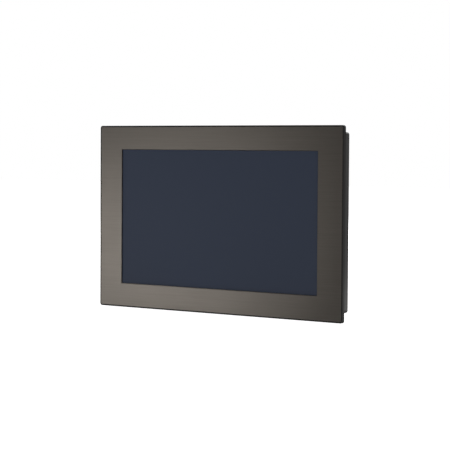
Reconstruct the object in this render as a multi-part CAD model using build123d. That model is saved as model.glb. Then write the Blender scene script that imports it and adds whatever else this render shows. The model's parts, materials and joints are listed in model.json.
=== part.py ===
from build123d import *
import os

# Widescreen touch panel computer for a control cabinet door, in millimetres.
# Origin: centre of the bezel on the sealing plane, where the gasket meets the door.
# +X is to the right seen from the front, +Z is up, and the screen faces -Y.

# Display
ACTIVE_WIDTH = 344.2         # picture area of a 15.6 inch widescreen panel
ACTIVE_HEIGHT = 193.6
WINDOW_SIDE_GAP = 0.9        # from the picture to the window's edge, left and right
WINDOW_END_GAP = 1.2         # the same, above and below
SIDE_BORDER = 42.0           # from the window's edge to the bezel's outer edge
END_BORDER = 35.0

# Bezel
BEZEL_THICKNESS = 5.0
BEZEL_CORNER = 3.5
BEZEL_EDGE = 0.8             # rounding of the front edge
RIM_WIDTH = 2.0              # dark rim that stands round the fascia
FASCIA_STEP = 0.2            # rim stands this far in front of the fascia
FASCIA_THICKNESS = 1.2
FASCIA_GAP = 0.1
WINDOW_CHAMFER = 0.7
ADHESIVE_THICKNESS = 0.2
ADHESIVE_INSET = 1.0
GASKET_PROUD = 0.5
GASKET_INSET = 3.5           # from the bezel's edge to the gasket
GASKET_WIDTH = 4.0
GASKET_CORNER = 5.0
GROOVE_DEPTH = 1.5
THREAD_DEPTH = 2.4           # blind threads in the bezel's back
SCREW_END_GAP = 0.4          # below a screw in a blind thread

# Touch screen
TOUCH_MARGIN = 8.0           # glass beyond the window on each side
TOUCH_THICKNESS = 2.5
TOUCH_CORNER = 1.5
TOUCH_SEAL = 0.3
TOUCH_CLEARANCE = 1.0        # round the glass, in the bezel's opening
DUST_SEAL = 1.5
DUST_SEAL_WIDTH = 4.0
TAIL_WIDTH = 20.0
TAIL_THICKNESS = 0.2
TAIL_LAP = 3.5               # length of tail on the back of the glass
TAIL_DROP = 3.0              # from the display's bottom edge to the tail
TAIL_SOCKET = 2.2            # height of the tail's socket
TAIL_SOCKET_WALL = 2.0
TOUCH_BOARD = (70.0, 24.0)
TOUCH_BOARD_CORNER = 1.0
TOUCH_CHIP_OFFSET = (8.0, 3.0)
TOUCH_SOCKET = (10.0, 5.0, 4.0)
TOUCH_SPACER = 2.5           # radius
TOUCH_SPACER_X = (-30.0, 30.0)
TOUCH_BOARD_GAP = 3.0        # from the board to the housing
TOUCH_LEAD_X = -25.0

# Display module
LCD_SIDE_MARGIN = 9.8
LCD_END_MARGIN = 11.15
LCD_SKIN = 0.4
LCD_SKIRT = 2.0
LCD_GAP = 0.1                # between the layers
CELL_MARGIN = 4.5
CELL_THICKNESS = 1.4
FILM_THICKNESS = 0.6
FILM_INSET = 1.0
GUIDE_THICKNESS = 3.0
STRIP_THICKNESS = 0.8
LED_HEIGHT = 2.0
LED_LENGTH = 4.0
LED_INSET = 0.4              # from the light guide's faces
LED_COUNT = 36
TRAY_THICKNESS = 0.8
BACKLIGHT_PLUG_X = -95.0
BACKLIGHT_PLUG = (8.0, 6.0)
BACKLIGHT_PLUG_RISE = 3.3    # behind the tray
BACKLIGHT_PLUG_GAP = 0.4
TCON_SIZE = (220.0, 22.0)
TCON_OFFSET = 30.0
TCON_RISE = 8.0              # from the display's bottom edge to the board
TCON_SOCKET = 4.7            # behind the tray
TCON_SOCKET_SIZE = (20.0, 6.0)
TCON_CHIP = 9.0
TCON_CHIP_OFFSET = 60.0
LARGE_CHIP = 14.0
CHIP_HEIGHT = 1.2
BRACKET_HEIGHT = 190.0
BRACKET_FOOT = 10.0
BRACKET_SCREW_Z = (-80.0, 0.0, 80.0)
SIDE_SCREW_Z = (-70.0, 70.0)
SIDE_SCREW_LENGTH = 1.9
BOARD_THICKNESS = 1.6

# Rear housing
HOUSING_SIDE_INSET = 10.5    # from the bezel's edge to the housing
HOUSING_TOP_INSET = 9.0
HOUSING_BOTTOM_INSET = 11.5
HOUSING_REAR = 25.0
HOUSING_CORNER = 4.0
SHEET = 1.2
SHEET_BEND = 1.5
PILLAR_FLATS = 6.0
PILLAR_OFFSET = 5.3          # from the inside of the wall to a pillar's middle
PILLAR_MID_X = 65.0
HOUSING_SCREW = 7.0
CLAMP_SLOT = (14.0, 5.0)
CLAMP_SLOT_Y = 12.0
CLAMP_SLOT_X = (100.0, 170.0)
CABLE_SLOT = (50.0, 12.0)
CABLE_SLOT_PLACE = (-60.0, 90.5)

# Fasteners
M3_CORE = 1.5                # radius of a threaded hole
M3_SHANK = 1.45
M3_HOLE = 1.7
M3_HEAD = 3.0
M3_HEAD_HEIGHT = 2.4
M3_SOCKET = 2.0              # across the flats of the key's socket
M3_SOCKET_DEPTH = 1.3
M4_CORE = 2.0
M4_SHANK = 1.95

# Rear cover
COVER_WIDTH = 300.0
COVER_TOP = 100.0
COVER_BOTTOM = -85.0
COVER_REAR = 52.0
COVER_CORNER = 3.0
COVER_FLANGE = 9.0
FLANGE_SCREW_X = (-110.0, 0.0, 110.0)
FLANGE_SCREW_Z = (-65.0, 10.0, 85.0)
PANEL_SCREW_X = (-120.0, -40.0, 40.0, 120.0)
STRAP_SCREW_X = (-125.0, 80.0)
STRAP_WIDTH = 14.0
VESA = 100.0
INSERT_FLANGE = 4.5
INSERT_BODY = 3.2
INSERT_LENGTH = 5.2
VENT_SLOT = (3.0, 44.0)
VENT_PITCH = 8.0
VENT_COUNT = 8
VENT_PLACE = (-104.0, 60.0)
TOP_VENT_SLOT = (20.0, 3.0)
TOP_VENT_PITCH = 28.0
TOP_VENT_COUNT = 9

# Main board
BOARD_STANDOFF = 6.0
BOARD_CORNER = 1.5
BOARD_SCREW_GRIP = 4.5       # length of a screw in its standoff
BOARD_WIDTH = 280.0
BOARD_HEIGHT = 160.0
BOARD_EDGE_GAP = 1.0         # from the socket panel to the board's edge
STANDOFF_FLATS = 6.0
STANDOFF_SPIGOT = 2.2
STANDOFF_INSET = 5.0
STANDOFF_LOW_Z = -40.0
CPU_PLACE = (100.0, 25.0)
CPU_SIZE = 37.0
CPU_THICKNESS = 1.4
CPU_LID = 26.0
CPU_LID_THICKNESS = 2.0
CPU_LID_CORNER = 1.0
PAD_THICKNESS = 0.6
MEMORY_PLACE = (-20.0, 15.0)
MEMORY_SIZE = (67.6, 30.0)
MEMORY_THICKNESS = 1.0
MEMORY_HEIGHT = 4.4
MEMORY_LIP = 1.0             # socket above the module
MEMORY_SOCKET_DEPTH = 6.0
MEMORY_ARM_GAP = 0.5
MEMORY_ARM_REACH = 3.0
MEMORY_ARM_SHORT = 4.0       # arms end this far below the module's top
MEMORY_CHIP = (11.0, 14.0, 1.1)
MEMORY_CHIP_COUNT = 4
MEMORY_CHIP_PITCH = 16.0
MEMORY_CHIP_RISE = 3.0
CAPACITOR = (4.0, 9.0)       # radius and height
CAPACITOR_X = (-128.0, -118.0)
CAPACITOR_Z = -56.0
COIL = (9.0, 4.5)            # side and height
COIL_X = (-100.0, -88.0, -76.0)
COIL_Z = -50.0
LAN_CHIP = (10.0, 1.2)
LAN_CHIP_Z = -50.0
BRIDGE_CHIP = (20.0, 1.6)
BRIDGE_CHIP_PLACE = (35.0, -22.0)
CAN = (3.2, 7.0)             # radius and height
CAN_X = (66.0, 76.0, 120.0)
CAN_Z = 60.0
LVDS_HEADER = 14.0
LEAD_HEADER = 8.0
HEADER_SHOULDER = 3.0        # from a header's top to its cable's middle
HEADER_HEIGHT = 8.4
HEADER_Z = (60.0, 70.0)

# Heat sink
SINK_OPENING = (66.0, 124.0)
SINK_RIM = 8.0
SINK_GAP = 0.5
SINK_BASE = 3.0
SINK_PEDESTAL = 44.0
SINK_PEDESTAL_CORNER = 1.5
SINK_CORNER = 2.0
SINK_PLINTH = 2.0
SINK_PROUD = 5.0             # fins stand this far behind the cover
FIN_THICKNESS = 1.8
FIN_PITCH = 5.6

# Sockets along the bottom
SOCKET_PROUD = 0.3
SOCKET_CLEARANCE = 0.3
PANEL_FLANGE = 10.0
PANEL_CLEARANCE = 0.2
LAN_X = (42.0, 62.0)
LAN_SIZE = (16.0, 13.5, 21.0)
LAN_JACK = (11.8, 8.2, 13.0)
LATCH_NOTCH = (6.0, 1.6)
USB_X = (2.0, 21.0)
USB_SIZE = (14.4, 15.6, 17.5)
USB_MOUTH = (12.6, 5.2, 13.0)
USB_TONGUE = (11.2, 1.9, 11.0)
USB_ROWS = (0.27, 0.73)      # middles of the two mouths, as shares of the height
SERIAL_X = -28.0
SERIAL_FLANGE = (30.8, 12.5, 1.0)
SERIAL_BODY = (20.0, 4.0, 9.0)
SERIAL_SHELL = (17.0, 8.4)
SERIAL_PROUD = 5.8
SERIAL_WALL = 0.6
SERIAL_SLANT = 0.18          # slope of the shell's sides
SERIAL_ROWS = ((-1.42, 4), (1.42, 5))
SERIAL_PITCH = 2.77
SERIAL_PIN_SINK = 0.8
JACKSCREW_SPACING = 25.0
JACKSCREW_FLATS = 4.8
JACKSCREW_HEAD = 5.0
JACKSCREW_GRIP = 4.0
JACKSCREW_FLOOR = 1.0
EARTH_X = -134.0
EARTH_Y = 38.0
STUD_HEAD = 1.6
STUD_LENGTH = 12.0
WASHER_THICKNESS = 1.0
WASHER_RIM = 1.2
NUT_FLATS = 7.0
NUT_HEIGHT = 3.2

# Power plug
POWER_X = -108.0
HEADER_SIZE = (20.0, 10.4, 13.0)
HEADER_CAVITY = (17.0, 7.8, 9.0)
PIN_PITCH = 5.08
PIN_RADIUS = 0.5
PIN_SINK = 1.0
PIN_CLEARANCE = 0.35
PLUG_CLEARANCE = 0.3
PLUG_DEPTH = 8.5
PLUG_BODY = (18.0, 12.0, 12.0)
PLUG_GAP = 0.5
PLUG_EDGE = 0.6
PLUG_SCREW_RADIUS = 1.7
PLUG_SCREW_WELL = 3.0
PLUG_SCREW_SINK = 0.8
PLUG_SCREW_SLOT = (0.6, 0.8)
WIRE_MOUTH = 3.4

# Power switch
SWITCH_X = -76.0
SWITCH_Y = 39.4
SWITCH_FLANGE = (21.0, 15.0, 2.0)
SWITCH_BARREL = (18.8, 12.6, 14.0)
SWITCH_CAVITY = (16.0, 10.0, 9.0)
SWITCH_CLEARANCE = 0.1
SWITCH_TAB = (0.8, 4.8, 6.0)
SWITCH_TAB_X = 4.5
ROCKER_SIZE = (13.8, 9.4)
ROCKER_END = 4.2             # from the pivot down to the rocker's two ends
ROCKER_WAIST = 3.1
ROCKER_SHOULDER = 0.3
ROCKER_KEEL = (2.5, 3.4)
ROCKER_TILT = 12.0
ROCKER_PIVOT = 1.0
PIVOT_CLEARANCE = 0.05
PIVOT_RISE = 1.0             # from the socket panel to the pivot
PIVOT_SEAT = 1.0             # depth of the pivot's seats
PIVOT_END = 0.8

# Reset button
RESET_X = -54.0
RESET_RISE = 3.2             # from the board to the button's middle
RESET_RADIUS = 1.75
RESET_COLLAR = 2.5
RESET_CLEARANCE = 0.3
RESET_PROUD = 1.2
RESET_EDGE = 0.3
RESET_COLLAR_GAP = 0.1
RESET_COLLAR_THICKNESS = 0.6
RESET_BODY = (6.4, 6.4, 4.5)
RESET_TRAVEL = 0.8
RESET_SLACK = 0.25           # left above the collar at the end of its travel

# Memory card
CARD_X = 112.0
CARD_SIZE = (24.0, 2.1, 32.0)
CARD_CUT = 4.0
CARD_RISE = 0.9
CARD_PROUD = 2.0
CARD_CLEARANCE = 0.3
CARD_SOCKET = (29.0, 4.0, 30.0)

# Battery and its flap
BATTERY_PLACE = (-104.0, -20.0)
BATTERY_RADIUS = 10.0
BATTERY_THICKNESS = 3.2
BATTERY_EDGE = 0.4
BATTERY_FLOOR = 1.0
HOLDER_SIZE = (26.0, 23.5)
HOLDER_CORNER = 3.0
HOLDER_RIM = 1.0
FLAP_X = -104.0
FLAP_WIDTH = 56.0
FLAP_HEIGHT = 50.0
FLAP_THICKNESS = 1.6
FLAP_CORNER = 1.5
FLAP_HINGE_GAP = 0.5         # between the knuckle's block and the flap's top
FLAP_LAP = 1.0
BATTERY_WINDOW_CORNER = 2.0
FLAP_GAP = 0.2
FLAP_OVERLAP = 4.0
HINGE_Z = 13.5
HINGE_RISE = 3.0             # from the cover to the hinge's axis
HINGE_PIN = 1.0
KNUCKLE = 2.4
EAR_WIDTH = 4.0
EAR_GAP = 0.5
BRACKET_STRIP = 7.0
THUMB_DROP = 46.5            # from the hinge's axis to the thumb screw
THUMB_RADIUS = 4.5
THUMB_SHANK = 1.5
THUMB_HEIGHT = 5.0
THUMB_EDGE = 0.6
THUMB_END = 1.0              # shank beyond the cover's inside
THUMB_CLEARANCE = 0.6

# Cables inside
LVDS_DIAMETER = 4.0
LEAD_DIAMETER = 3.0
LVDS_START = 2.7             # behind the tray
BACKLIGHT_START = 1.8
TOUCH_START = 2.0            # in front of the touch screen's board
BACKLIGHT_LANE = -16.0       # beside the display's cable
TOUCH_LANE = 14.0

# Worked out from the sizes above
window_width = ACTIVE_WIDTH + 2 * WINDOW_SIDE_GAP
window_height = ACTIVE_HEIGHT + 2 * WINDOW_END_GAP
bezel_width = window_width + 2 * SIDE_BORDER
bezel_height = window_height + 2 * END_BORDER
bezel_rear = -GASKET_PROUD
bezel_front = bezel_rear - BEZEL_THICKNESS
fascia_front = bezel_front + FASCIA_STEP
fascia_rear = fascia_front + FASCIA_THICKNESS
pocket_floor = fascia_rear + ADHESIVE_THICKNESS
pocket_width = bezel_width - 2 * RIM_WIDTH
pocket_height = bezel_height - 2 * RIM_WIDTH
pocket_corner = BEZEL_CORNER - RIM_WIDTH
fascia_width = pocket_width - 2 * FASCIA_GAP
fascia_height = pocket_height - 2 * FASCIA_GAP
fascia_corner = pocket_corner - FASCIA_GAP

touch_width = window_width + 2 * TOUCH_MARGIN
touch_height = window_height + 2 * TOUCH_MARGIN
opening_width = touch_width + 2 * TOUCH_CLEARANCE
opening_height = touch_height + 2 * TOUCH_CLEARANCE
opening_corner = TOUCH_CORNER + TOUCH_CLEARANCE
touch_front = fascia_rear + TOUCH_SEAL
touch_rear = touch_front + TOUCH_THICKNESS

lcd_width = ACTIVE_WIDTH + 2 * LCD_SIDE_MARGIN
lcd_height = ACTIVE_HEIGHT + 2 * LCD_END_MARGIN
lcd_front = touch_rear + DUST_SEAL
tail_z = -lcd_height / 2 - TAIL_DROP
touch_board_low = tail_z - TAIL_SOCKET
skirt_rear = lcd_front + LCD_SKIRT
cell_front = lcd_front + LCD_SKIN + LCD_GAP
cell_rear = cell_front + CELL_THICKNESS
cell_width = ACTIVE_WIDTH + 2 * CELL_MARGIN
cell_height = ACTIVE_HEIGHT + 2 * CELL_MARGIN
film_front = cell_rear + LCD_GAP
film_rear = film_front + FILM_THICKNESS
film_width = cell_width - 2 * FILM_INSET
film_height = cell_height - 2 * FILM_INSET
guide_front = film_rear + LCD_GAP
guide_rear = guide_front + GUIDE_THICKNESS
strip_low = -film_height / 2
strip_top = strip_low + STRIP_THICKNESS
led_top = strip_top + LED_HEIGHT
tray_floor = guide_rear + LCD_GAP
tray_rear = tray_floor + TRAY_THICKNESS
frame_reach = lcd_width / 2 - TRAY_THICKNESS - LCD_GAP
frame_rise = lcd_height / 2 - TRAY_THICKNESS - LCD_GAP

housing_width = bezel_width - 2 * HOUSING_SIDE_INSET
housing_height = bezel_height - HOUSING_TOP_INSET - HOUSING_BOTTOM_INSET
housing_z = (HOUSING_BOTTOM_INSET - HOUSING_TOP_INSET) / 2
housing_top = housing_z + housing_height / 2
housing_low = housing_z - housing_height / 2
housing_floor = HOUSING_REAR - SHEET
pillar_x = housing_width / 2 - SHEET - PILLAR_OFFSET
pillar_top = housing_top - SHEET - PILLAR_OFFSET
pillar_low = housing_low + SHEET + PILLAR_OFFSET
pillar_places = [(side * pillar_x, z) for side in (-1, 1) for z in (pillar_top, housing_z, pillar_low)]
pillar_places += [(side * PILLAR_MID_X, z) for side in (-1, 1) for z in (pillar_top, pillar_low)]

cover_floor = COVER_REAR - SHEET
cover_inner_x = COVER_WIDTH / 2 - SHEET
cover_inner_top = COVER_TOP - SHEET
flange_rear = HOUSING_REAR + SHEET
flange_x = COVER_WIDTH / 2 + COVER_FLANGE / 2
flange_z = COVER_TOP + COVER_FLANGE / 2
panel_top = COVER_BOTTOM + SHEET
flange_screws = [(side * flange_x, z) for side in (-1, 1) for z in FLANGE_SCREW_Z]
flange_screws += [(x, flange_z) for x in FLANGE_SCREW_X]
panel_screws = [(x, panel_top + PANEL_FLANGE / 2) for x in PANEL_SCREW_X]
strap_screws = [(x, panel_top + PANEL_FLANGE / 2) for x in STRAP_SCREW_X]

board_front = HOUSING_REAR + BOARD_STANDOFF
board_rear = board_front + BOARD_THICKNESS
board_low = panel_top + BOARD_EDGE_GAP
board_top = board_low + BOARD_HEIGHT
standoff_x = BOARD_WIDTH / 2 - STANDOFF_INSET
standoff_places = [(x, z) for x in (-standoff_x, 0.0, standoff_x)
                   for z in (STANDOFF_LOW_Z, board_top - STANDOFF_INSET)]
mouth = COVER_BOTTOM - SOCKET_PROUD
sink_face = board_rear + CPU_THICKNESS + CPU_LID_THICKNESS + PAD_THICKNESS
sink_screws = [(CPU_PLACE[0] + side * (SINK_OPENING[0] + SINK_RIM) / 2, CPU_PLACE[1] + z)
               for side in (-1, 1) for z in (-SINK_OPENING[1] / 2, 0.0, SINK_OPENING[1] / 2)]
header_y = board_rear + HEADER_SIZE[1] / 2
serial_y = board_rear + SERIAL_FLANGE[1] / 2 + PANEL_CLEARANCE
reset_y = board_rear + RESET_RISE
card_y = board_rear + CARD_RISE + CARD_SIZE[1] / 2
card_low = COVER_BOTTOM - CARD_PROUD
switch_low = COVER_BOTTOM - SWITCH_FLANGE[2]
pivot_z = COVER_BOTTOM + PIVOT_RISE
plug_top = mouth - PLUG_GAP
hinge_y = COVER_REAR + HINGE_RISE
flap_front = COVER_REAR + FLAP_GAP
flap_rear = flap_front + FLAP_THICKNESS
flap_top = HINGE_Z - HINGE_RISE - FLAP_HINGE_GAP
flap_z = flap_top - FLAP_HEIGHT / 2
thumb_z = HINGE_Z - THUMB_DROP

os.makedirs("parts", exist_ok=True)


# ---------------------------------------------------------------- shapes that repeat

def facing(y):
    """Sketch plane at depth y, seen from the front: right is +X and up is +Z."""
    return Plane.XZ.offset(-y)


def slab(width, height, front, rear, radius=0.0, x=0.0, z=0.0):
    """Flat rectangle that faces the front, with rounded corners if radius is given."""
    outline = RectangleRounded(width, height, radius) if radius > 0 else Rectangle(width, height)
    return extrude(facing(rear) * Pos(x, z) * outline, rear - front)


def span(middle, size):
    """Limits either side of a middle."""
    return (middle - size / 2, middle + size / 2)


def block(x, y, z):
    """Box between three pairs of limits."""
    middle = [(low + high) / 2 for low, high in (x, y, z)]
    return Pos(*middle) * Box(*[high - low for low, high in (x, y, z)])


def round_along_y(radius, front, rear, x, z):
    """Cylinder along the depth."""
    return extrude(facing(rear) * Pos(x, z) * Circle(radius), rear - front)


def hexagon_along_y(flats, front, rear, x, z):
    """Hexagonal bar along the depth."""
    outline = RegularPolygon(flats / 2, 6, major_radius=False)
    return extrude(facing(rear) * Pos(x, z) * outline, rear - front)


def round_along_z(radius, x, y, low, high):
    """Upright cylinder."""
    return Pos(x, y, (low + high) / 2) * Cylinder(radius, high - low)


def hexagon_along_z(flats, x, y, low, high):
    """Upright hexagonal bar."""
    outline = RegularPolygon(flats / 2, 6, major_radius=False)
    return Pos(x, y, low) * extrude(outline, high - low)


def round_along_x(radius, y, z, left, right):
    """Cylinder across the width."""
    return Pos((left + right) / 2, y, z) * Rot(0, 90, 0) * Cylinder(radius, right - left)


def group(parts):
    """Separate solids that share one node."""
    return Compound([solid for part in parts for solid in part.solids()])


def m3_screw(length):
    """Pan head screw with a hexagon socket: head towards +Z from the seat at the origin."""
    head = Pos(0, 0, M3_HEAD_HEIGHT / 2) * Cylinder(M3_HEAD, M3_HEAD_HEIGHT)
    head = fillet(head.edges().sort_by(Axis.Z)[-1], M3_HEAD_HEIGHT / 3)
    shank = Pos(0, 0, -length / 2) * Cylinder(M3_SHANK, length)
    key = RegularPolygon(M3_SOCKET / 2, 6, major_radius=False)
    socket = Pos(0, 0, M3_HEAD_HEIGHT - M3_SOCKET_DEPTH) * extrude(key, M3_SOCKET_DEPTH)
    return head + shank - socket


def rear_screws(places, seat, length):
    """Screws driven from behind, seated at one depth."""
    towards_rear = Plane(origin=(0, seat, 0), x_dir=(1, 0, 0), z_dir=(0, 1, 0))
    return [Pos(x, 0, z) * (towards_rear.location * m3_screw(length)) for x, z in places]


def holes(places, radius, front, rear):
    """Round holes along the depth."""
    return [round_along_y(radius, front, rear, x, z) for x, z in places]


def bend_radii(route):
    """Largest tangent arcs that a cable's runs leave room for."""
    points = [Vector(*point) for point in route]
    runs = [end - start for start, end in zip(points, points[1:])]
    radii = []
    for before, after in zip(runs, runs[1:]):
        half_turn = before.get_angle(after) / 2
        reach = 0.45 * min(before.length, after.length)
        # a right triangle's sides give the tangent of half the turn
        side = Vector(1, 0, 0).rotate(Axis.Z, half_turn)
        radii.append(reach * side.X / side.Y)
    return radii


def cable(route, diameter):
    """Round cable along straight runs joined by tangent arcs."""
    radii = bend_radii(route)
    print("cable bends", [round(radius, 1) for radius in radii], "diameter", diameter)
    path = FilletPolyline(*route, radius=radii)
    start = Vector(*route[0])
    section = Plane(origin=start, z_dir=Vector(*route[1]) - start) * Circle(diameter / 2)
    tube = sweep(section, path)
    print("tube", round(tube.volume, 2), "section times length", round(section.area * path.length, 2))
    return tube


# ---------------------------------------------------------------- front

def bezel_frame():
    """Cast frame with a shallow pocket for the fascia and a dark rounded rim."""
    body = slab(bezel_width, bezel_height, bezel_front, bezel_rear, BEZEL_CORNER)
    body = fillet(body.faces().sort_by(Axis.Y)[0].edges(), BEZEL_EDGE)
    body -= slab(pocket_width, pocket_height, bezel_front, pocket_floor, pocket_corner)
    body -= slab(opening_width, opening_height, pocket_floor, bezel_rear, opening_corner)
    body -= gasket_ring(bezel_rear - GROOVE_DEPTH, bezel_rear)
    thread_end = bezel_rear - THREAD_DEPTH
    for hole in holes(pillar_places + bracket_places(), M3_CORE, thread_end, bezel_rear):
        body -= hole
    return body


def gasket_ring(front, rear):
    """Ring that runs round the back of the bezel, outside the housing."""
    width = bezel_width - 2 * GASKET_INSET
    height = bezel_height - 2 * GASKET_INSET
    ring = slab(width, height, front, rear, GASKET_CORNER)
    return ring - slab(width - 2 * GASKET_WIDTH, height - 2 * GASKET_WIDTH, front, rear,
                       GASKET_CORNER - GASKET_WIDTH)


def panel_gasket():
    """Foam seal in the groove, standing a little behind the bezel."""
    return gasket_ring(bezel_rear - GROOVE_DEPTH, 0.0)


def fascia_plate():
    """Brushed front sheet with a bevelled window."""
    plate = slab(fascia_width, fascia_height, fascia_front, fascia_rear, fascia_corner)
    plate -= slab(window_width, window_height, fascia_front, fascia_rear)
    front = plate.faces().sort_by(Axis.Y)[0]
    return chamfer(front.inner_wires()[0].edges(), WINDOW_CHAMFER)


def fascia_adhesive():
    """Thin adhesive ring between the fascia and the bezel's pocket."""
    outer = slab(fascia_width - 2 * ADHESIVE_INSET, fascia_height - 2 * ADHESIVE_INSET,
                 fascia_rear, pocket_floor)
    return outer - slab(opening_width + 2 * ADHESIVE_INSET, opening_height + 2 * ADHESIVE_INSET,
                        fascia_rear, pocket_floor)


def touch_seal():
    """Adhesive foam ring between the fascia's back and the glass."""
    outer = slab(touch_width - ADHESIVE_INSET, touch_height - ADHESIVE_INSET, fascia_rear, touch_front)
    return outer - slab(window_width + 2 * ADHESIVE_INSET, window_height + 2 * ADHESIVE_INSET,
                        fascia_rear, touch_front)


def touch_panel():
    """Touch glass behind the window."""
    return slab(touch_width, touch_height, touch_front, touch_rear, TOUCH_CORNER)


def tail_line():
    """Side view of the tail's middle: down the glass, round the display and back to its board."""
    on_glass = touch_rear + TAIL_THICKNESS / 2
    behind_bezel = (bezel_rear + lcd_front) / 2
    edge = -touch_height / 2
    return FilletPolyline(
        (on_glass, edge + TAIL_LAP),
        (on_glass, edge + TAIL_THICKNESS),
        (behind_bezel, edge - TOUCH_CLEARANCE - TAIL_THICKNESS),
        (behind_bezel, tail_z),
        (touch_board_front() - TAIL_SOCKET, tail_z),
        radius=TAIL_THICKNESS * 2,
    )


def touch_board_front():
    """Depth of the front face of the touch screen's board."""
    return housing_floor - TOUCH_BOARD_GAP - BOARD_THICKNESS


def touch_tail():
    """Flat printed tail of the touch screen."""
    band = trace(tail_line(), TAIL_THICKNESS)
    return extrude(Plane.YZ * band, TAIL_WIDTH / 2, both=True)


def touch_board():
    """Small board for the touch screen, on spacers behind the display."""
    front = touch_board_front()
    rear = front + BOARD_THICKNESS
    z = touch_board_low + TOUCH_BOARD[1] / 2
    board = slab(*TOUCH_BOARD, front, rear, TOUCH_BOARD_CORNER, 0, z)
    board += slab(TAIL_WIDTH + 2 * TAIL_SOCKET_WALL, 2 * TAIL_SOCKET_WALL, front - TAIL_SOCKET, front,
                  0, 0, tail_z)
    chip_x, chip_z = TOUCH_CHIP_OFFSET
    board += slab(LARGE_CHIP, LARGE_CHIP, front - CHIP_HEIGHT, front, 0, chip_x, z + chip_z)
    width, depth, height = TOUCH_SOCKET
    board += slab(width, depth, front - height, front, 0, TOUCH_LEAD_X, z + (TOUCH_BOARD[1] - depth) / 2)
    for x in TOUCH_SPACER_X:
        board += round_along_y(TOUCH_SPACER, rear, housing_floor, x, z)
    return board


# ---------------------------------------------------------------- display module

def lcd_dust_seal():
    """Foam ring between the glass and the display."""
    width = ACTIVE_WIDTH + 2 * LCD_SIDE_MARGIN - 2 * ADHESIVE_INSET
    height = window_height + 2 * DUST_SEAL_WIDTH
    ring = slab(width, height, touch_rear, lcd_front)
    return ring - slab(width - 2 * DUST_SEAL_WIDTH, height - 2 * (DUST_SEAL_WIDTH - WINDOW_END_GAP),
                       touch_rear, lcd_front)


def lcd_front_frame():
    """Pressed steel frame round the picture, with a short skirt."""
    shell = slab(lcd_width, lcd_height, lcd_front, skirt_rear)
    shell -= slab(lcd_width - 2 * LCD_SKIN, lcd_height - 2 * LCD_SKIN, lcd_front + LCD_SKIN, skirt_rear)
    return shell - slab(ACTIVE_WIDTH + 2 * WINDOW_SIDE_GAP, ACTIVE_HEIGHT + 2 * WINDOW_END_GAP,
                        lcd_front, skirt_rear)


def lcd_mid_frame():
    """Moulded frame that holds the glass, the films and the light guide."""
    front = lcd_front + LCD_SKIN
    body = slab(2 * frame_reach, 2 * frame_rise, front, tray_floor)
    return body - slab(cell_width + 2 * LCD_GAP, cell_height + 2 * LCD_GAP, front, tray_floor)


def lcd_cell():
    """Liquid crystal glass with its polarisers."""
    return slab(cell_width, cell_height, cell_front, cell_rear)


def optical_films():
    """Stack of diffuser and prism films."""
    return slab(film_width, film_height, film_front, film_rear)


def light_guide():
    """Clear plate that spreads the light, short of the light strip below it."""
    low = led_top + LCD_GAP
    return block((-film_width / 2, film_width / 2), (guide_front, guide_rear), (low, film_height / 2))


def led_strip():
    """Strip of lamps along the light guide's bottom edge, with its plug at the back."""
    half = film_width / 2 - FILM_INSET
    strip = block((-half, half), (guide_front, guide_rear), (strip_low, strip_top))
    pitch = 2 * half / LED_COUNT
    for number in range(LED_COUNT):
        x = -half + pitch * (number + 0.5)
        strip += block(span(x, LED_LENGTH),
                       (guide_front + LED_INSET, guide_rear - LED_INSET), (strip_top, led_top))
    return strip + block(plug_span_x(), (guide_rear, tray_rear + BACKLIGHT_PLUG_RISE), plug_span_z())


def plug_span_x():
    """Limits across the light strip's plug."""
    return span(BACKLIGHT_PLUG_X, BACKLIGHT_PLUG[0])


def plug_span_z():
    """Limits up and down the light strip's plug."""
    return (strip_low, strip_low + BACKLIGHT_PLUG[1])


def lcd_back_tray():
    """Aluminium tray behind the display, with threaded sides."""
    tray = slab(lcd_width, lcd_height, skirt_rear + 2 * LCD_GAP, tray_rear)
    tray -= slab(lcd_width - 2 * TRAY_THICKNESS, lcd_height - 2 * TRAY_THICKNESS,
                 skirt_rear + 2 * LCD_GAP, tray_floor)
    left, right = plug_span_x()
    low, high = plug_span_z()
    gap = BACKLIGHT_PLUG_GAP
    tray -= block((left - gap, right + gap), (tray_floor, tray_rear), (low - gap, high + gap))
    for side in (-1, 1):
        for z in SIDE_SCREW_Z:
            edge = side * lcd_width / 2
            tray -= round_along_x(M3_CORE, side_screw_y(), z, *sorted((edge, edge - side * TRAY_THICKNESS)))
    return tray


def side_screw_y():
    """Depth of the screws in the display's sides."""
    return (skirt_rear + 2 * LCD_GAP + tray_rear) / 2


def bracket_places():
    """Screws through the brackets' feet into the bezel."""
    x = lcd_width / 2 + SHEET + BRACKET_FOOT / 2 + SHEET / 2
    return [(side * x, z) for side in (-1, 1) for z in BRACKET_SCREW_Z]


def lcd_bracket(side):
    """Steel angle that holds one side of the display on the bezel."""
    inner = lcd_width / 2
    wall = sorted((side * inner, side * (inner + SHEET)))
    foot = sorted((side * inner, side * (inner + SHEET + BRACKET_FOOT)))
    rise = (-BRACKET_HEIGHT / 2, BRACKET_HEIGHT / 2)
    angle = block(wall, (bezel_rear, tray_rear), rise) + block(foot, (bezel_rear, bezel_rear + SHEET), rise)
    for x, z in bracket_places():
        if x * side > 0:
            angle -= round_along_y(M3_HOLE, bezel_rear, bezel_rear + SHEET, x, z)
    for z in SIDE_SCREW_Z:
        angle -= round_along_x(M3_HOLE, side_screw_y(), z, *wall)
    return angle


def bracket_screws():
    """Screws into the bezel and into the display's sides."""
    screws = rear_screws(bracket_places(), bezel_rear + SHEET, SHEET + THREAD_DEPTH - SCREW_END_GAP)
    for side in (-1, 1):
        outer = side * (lcd_width / 2 + SHEET)
        for z in SIDE_SCREW_Z:
            seat = Plane(origin=(outer, side_screw_y(), z), x_dir=(0, 1, 0), z_dir=(side, 0, 0))
            screws.append(seat.location * m3_screw(SIDE_SCREW_LENGTH))
    return group(screws)


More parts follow.
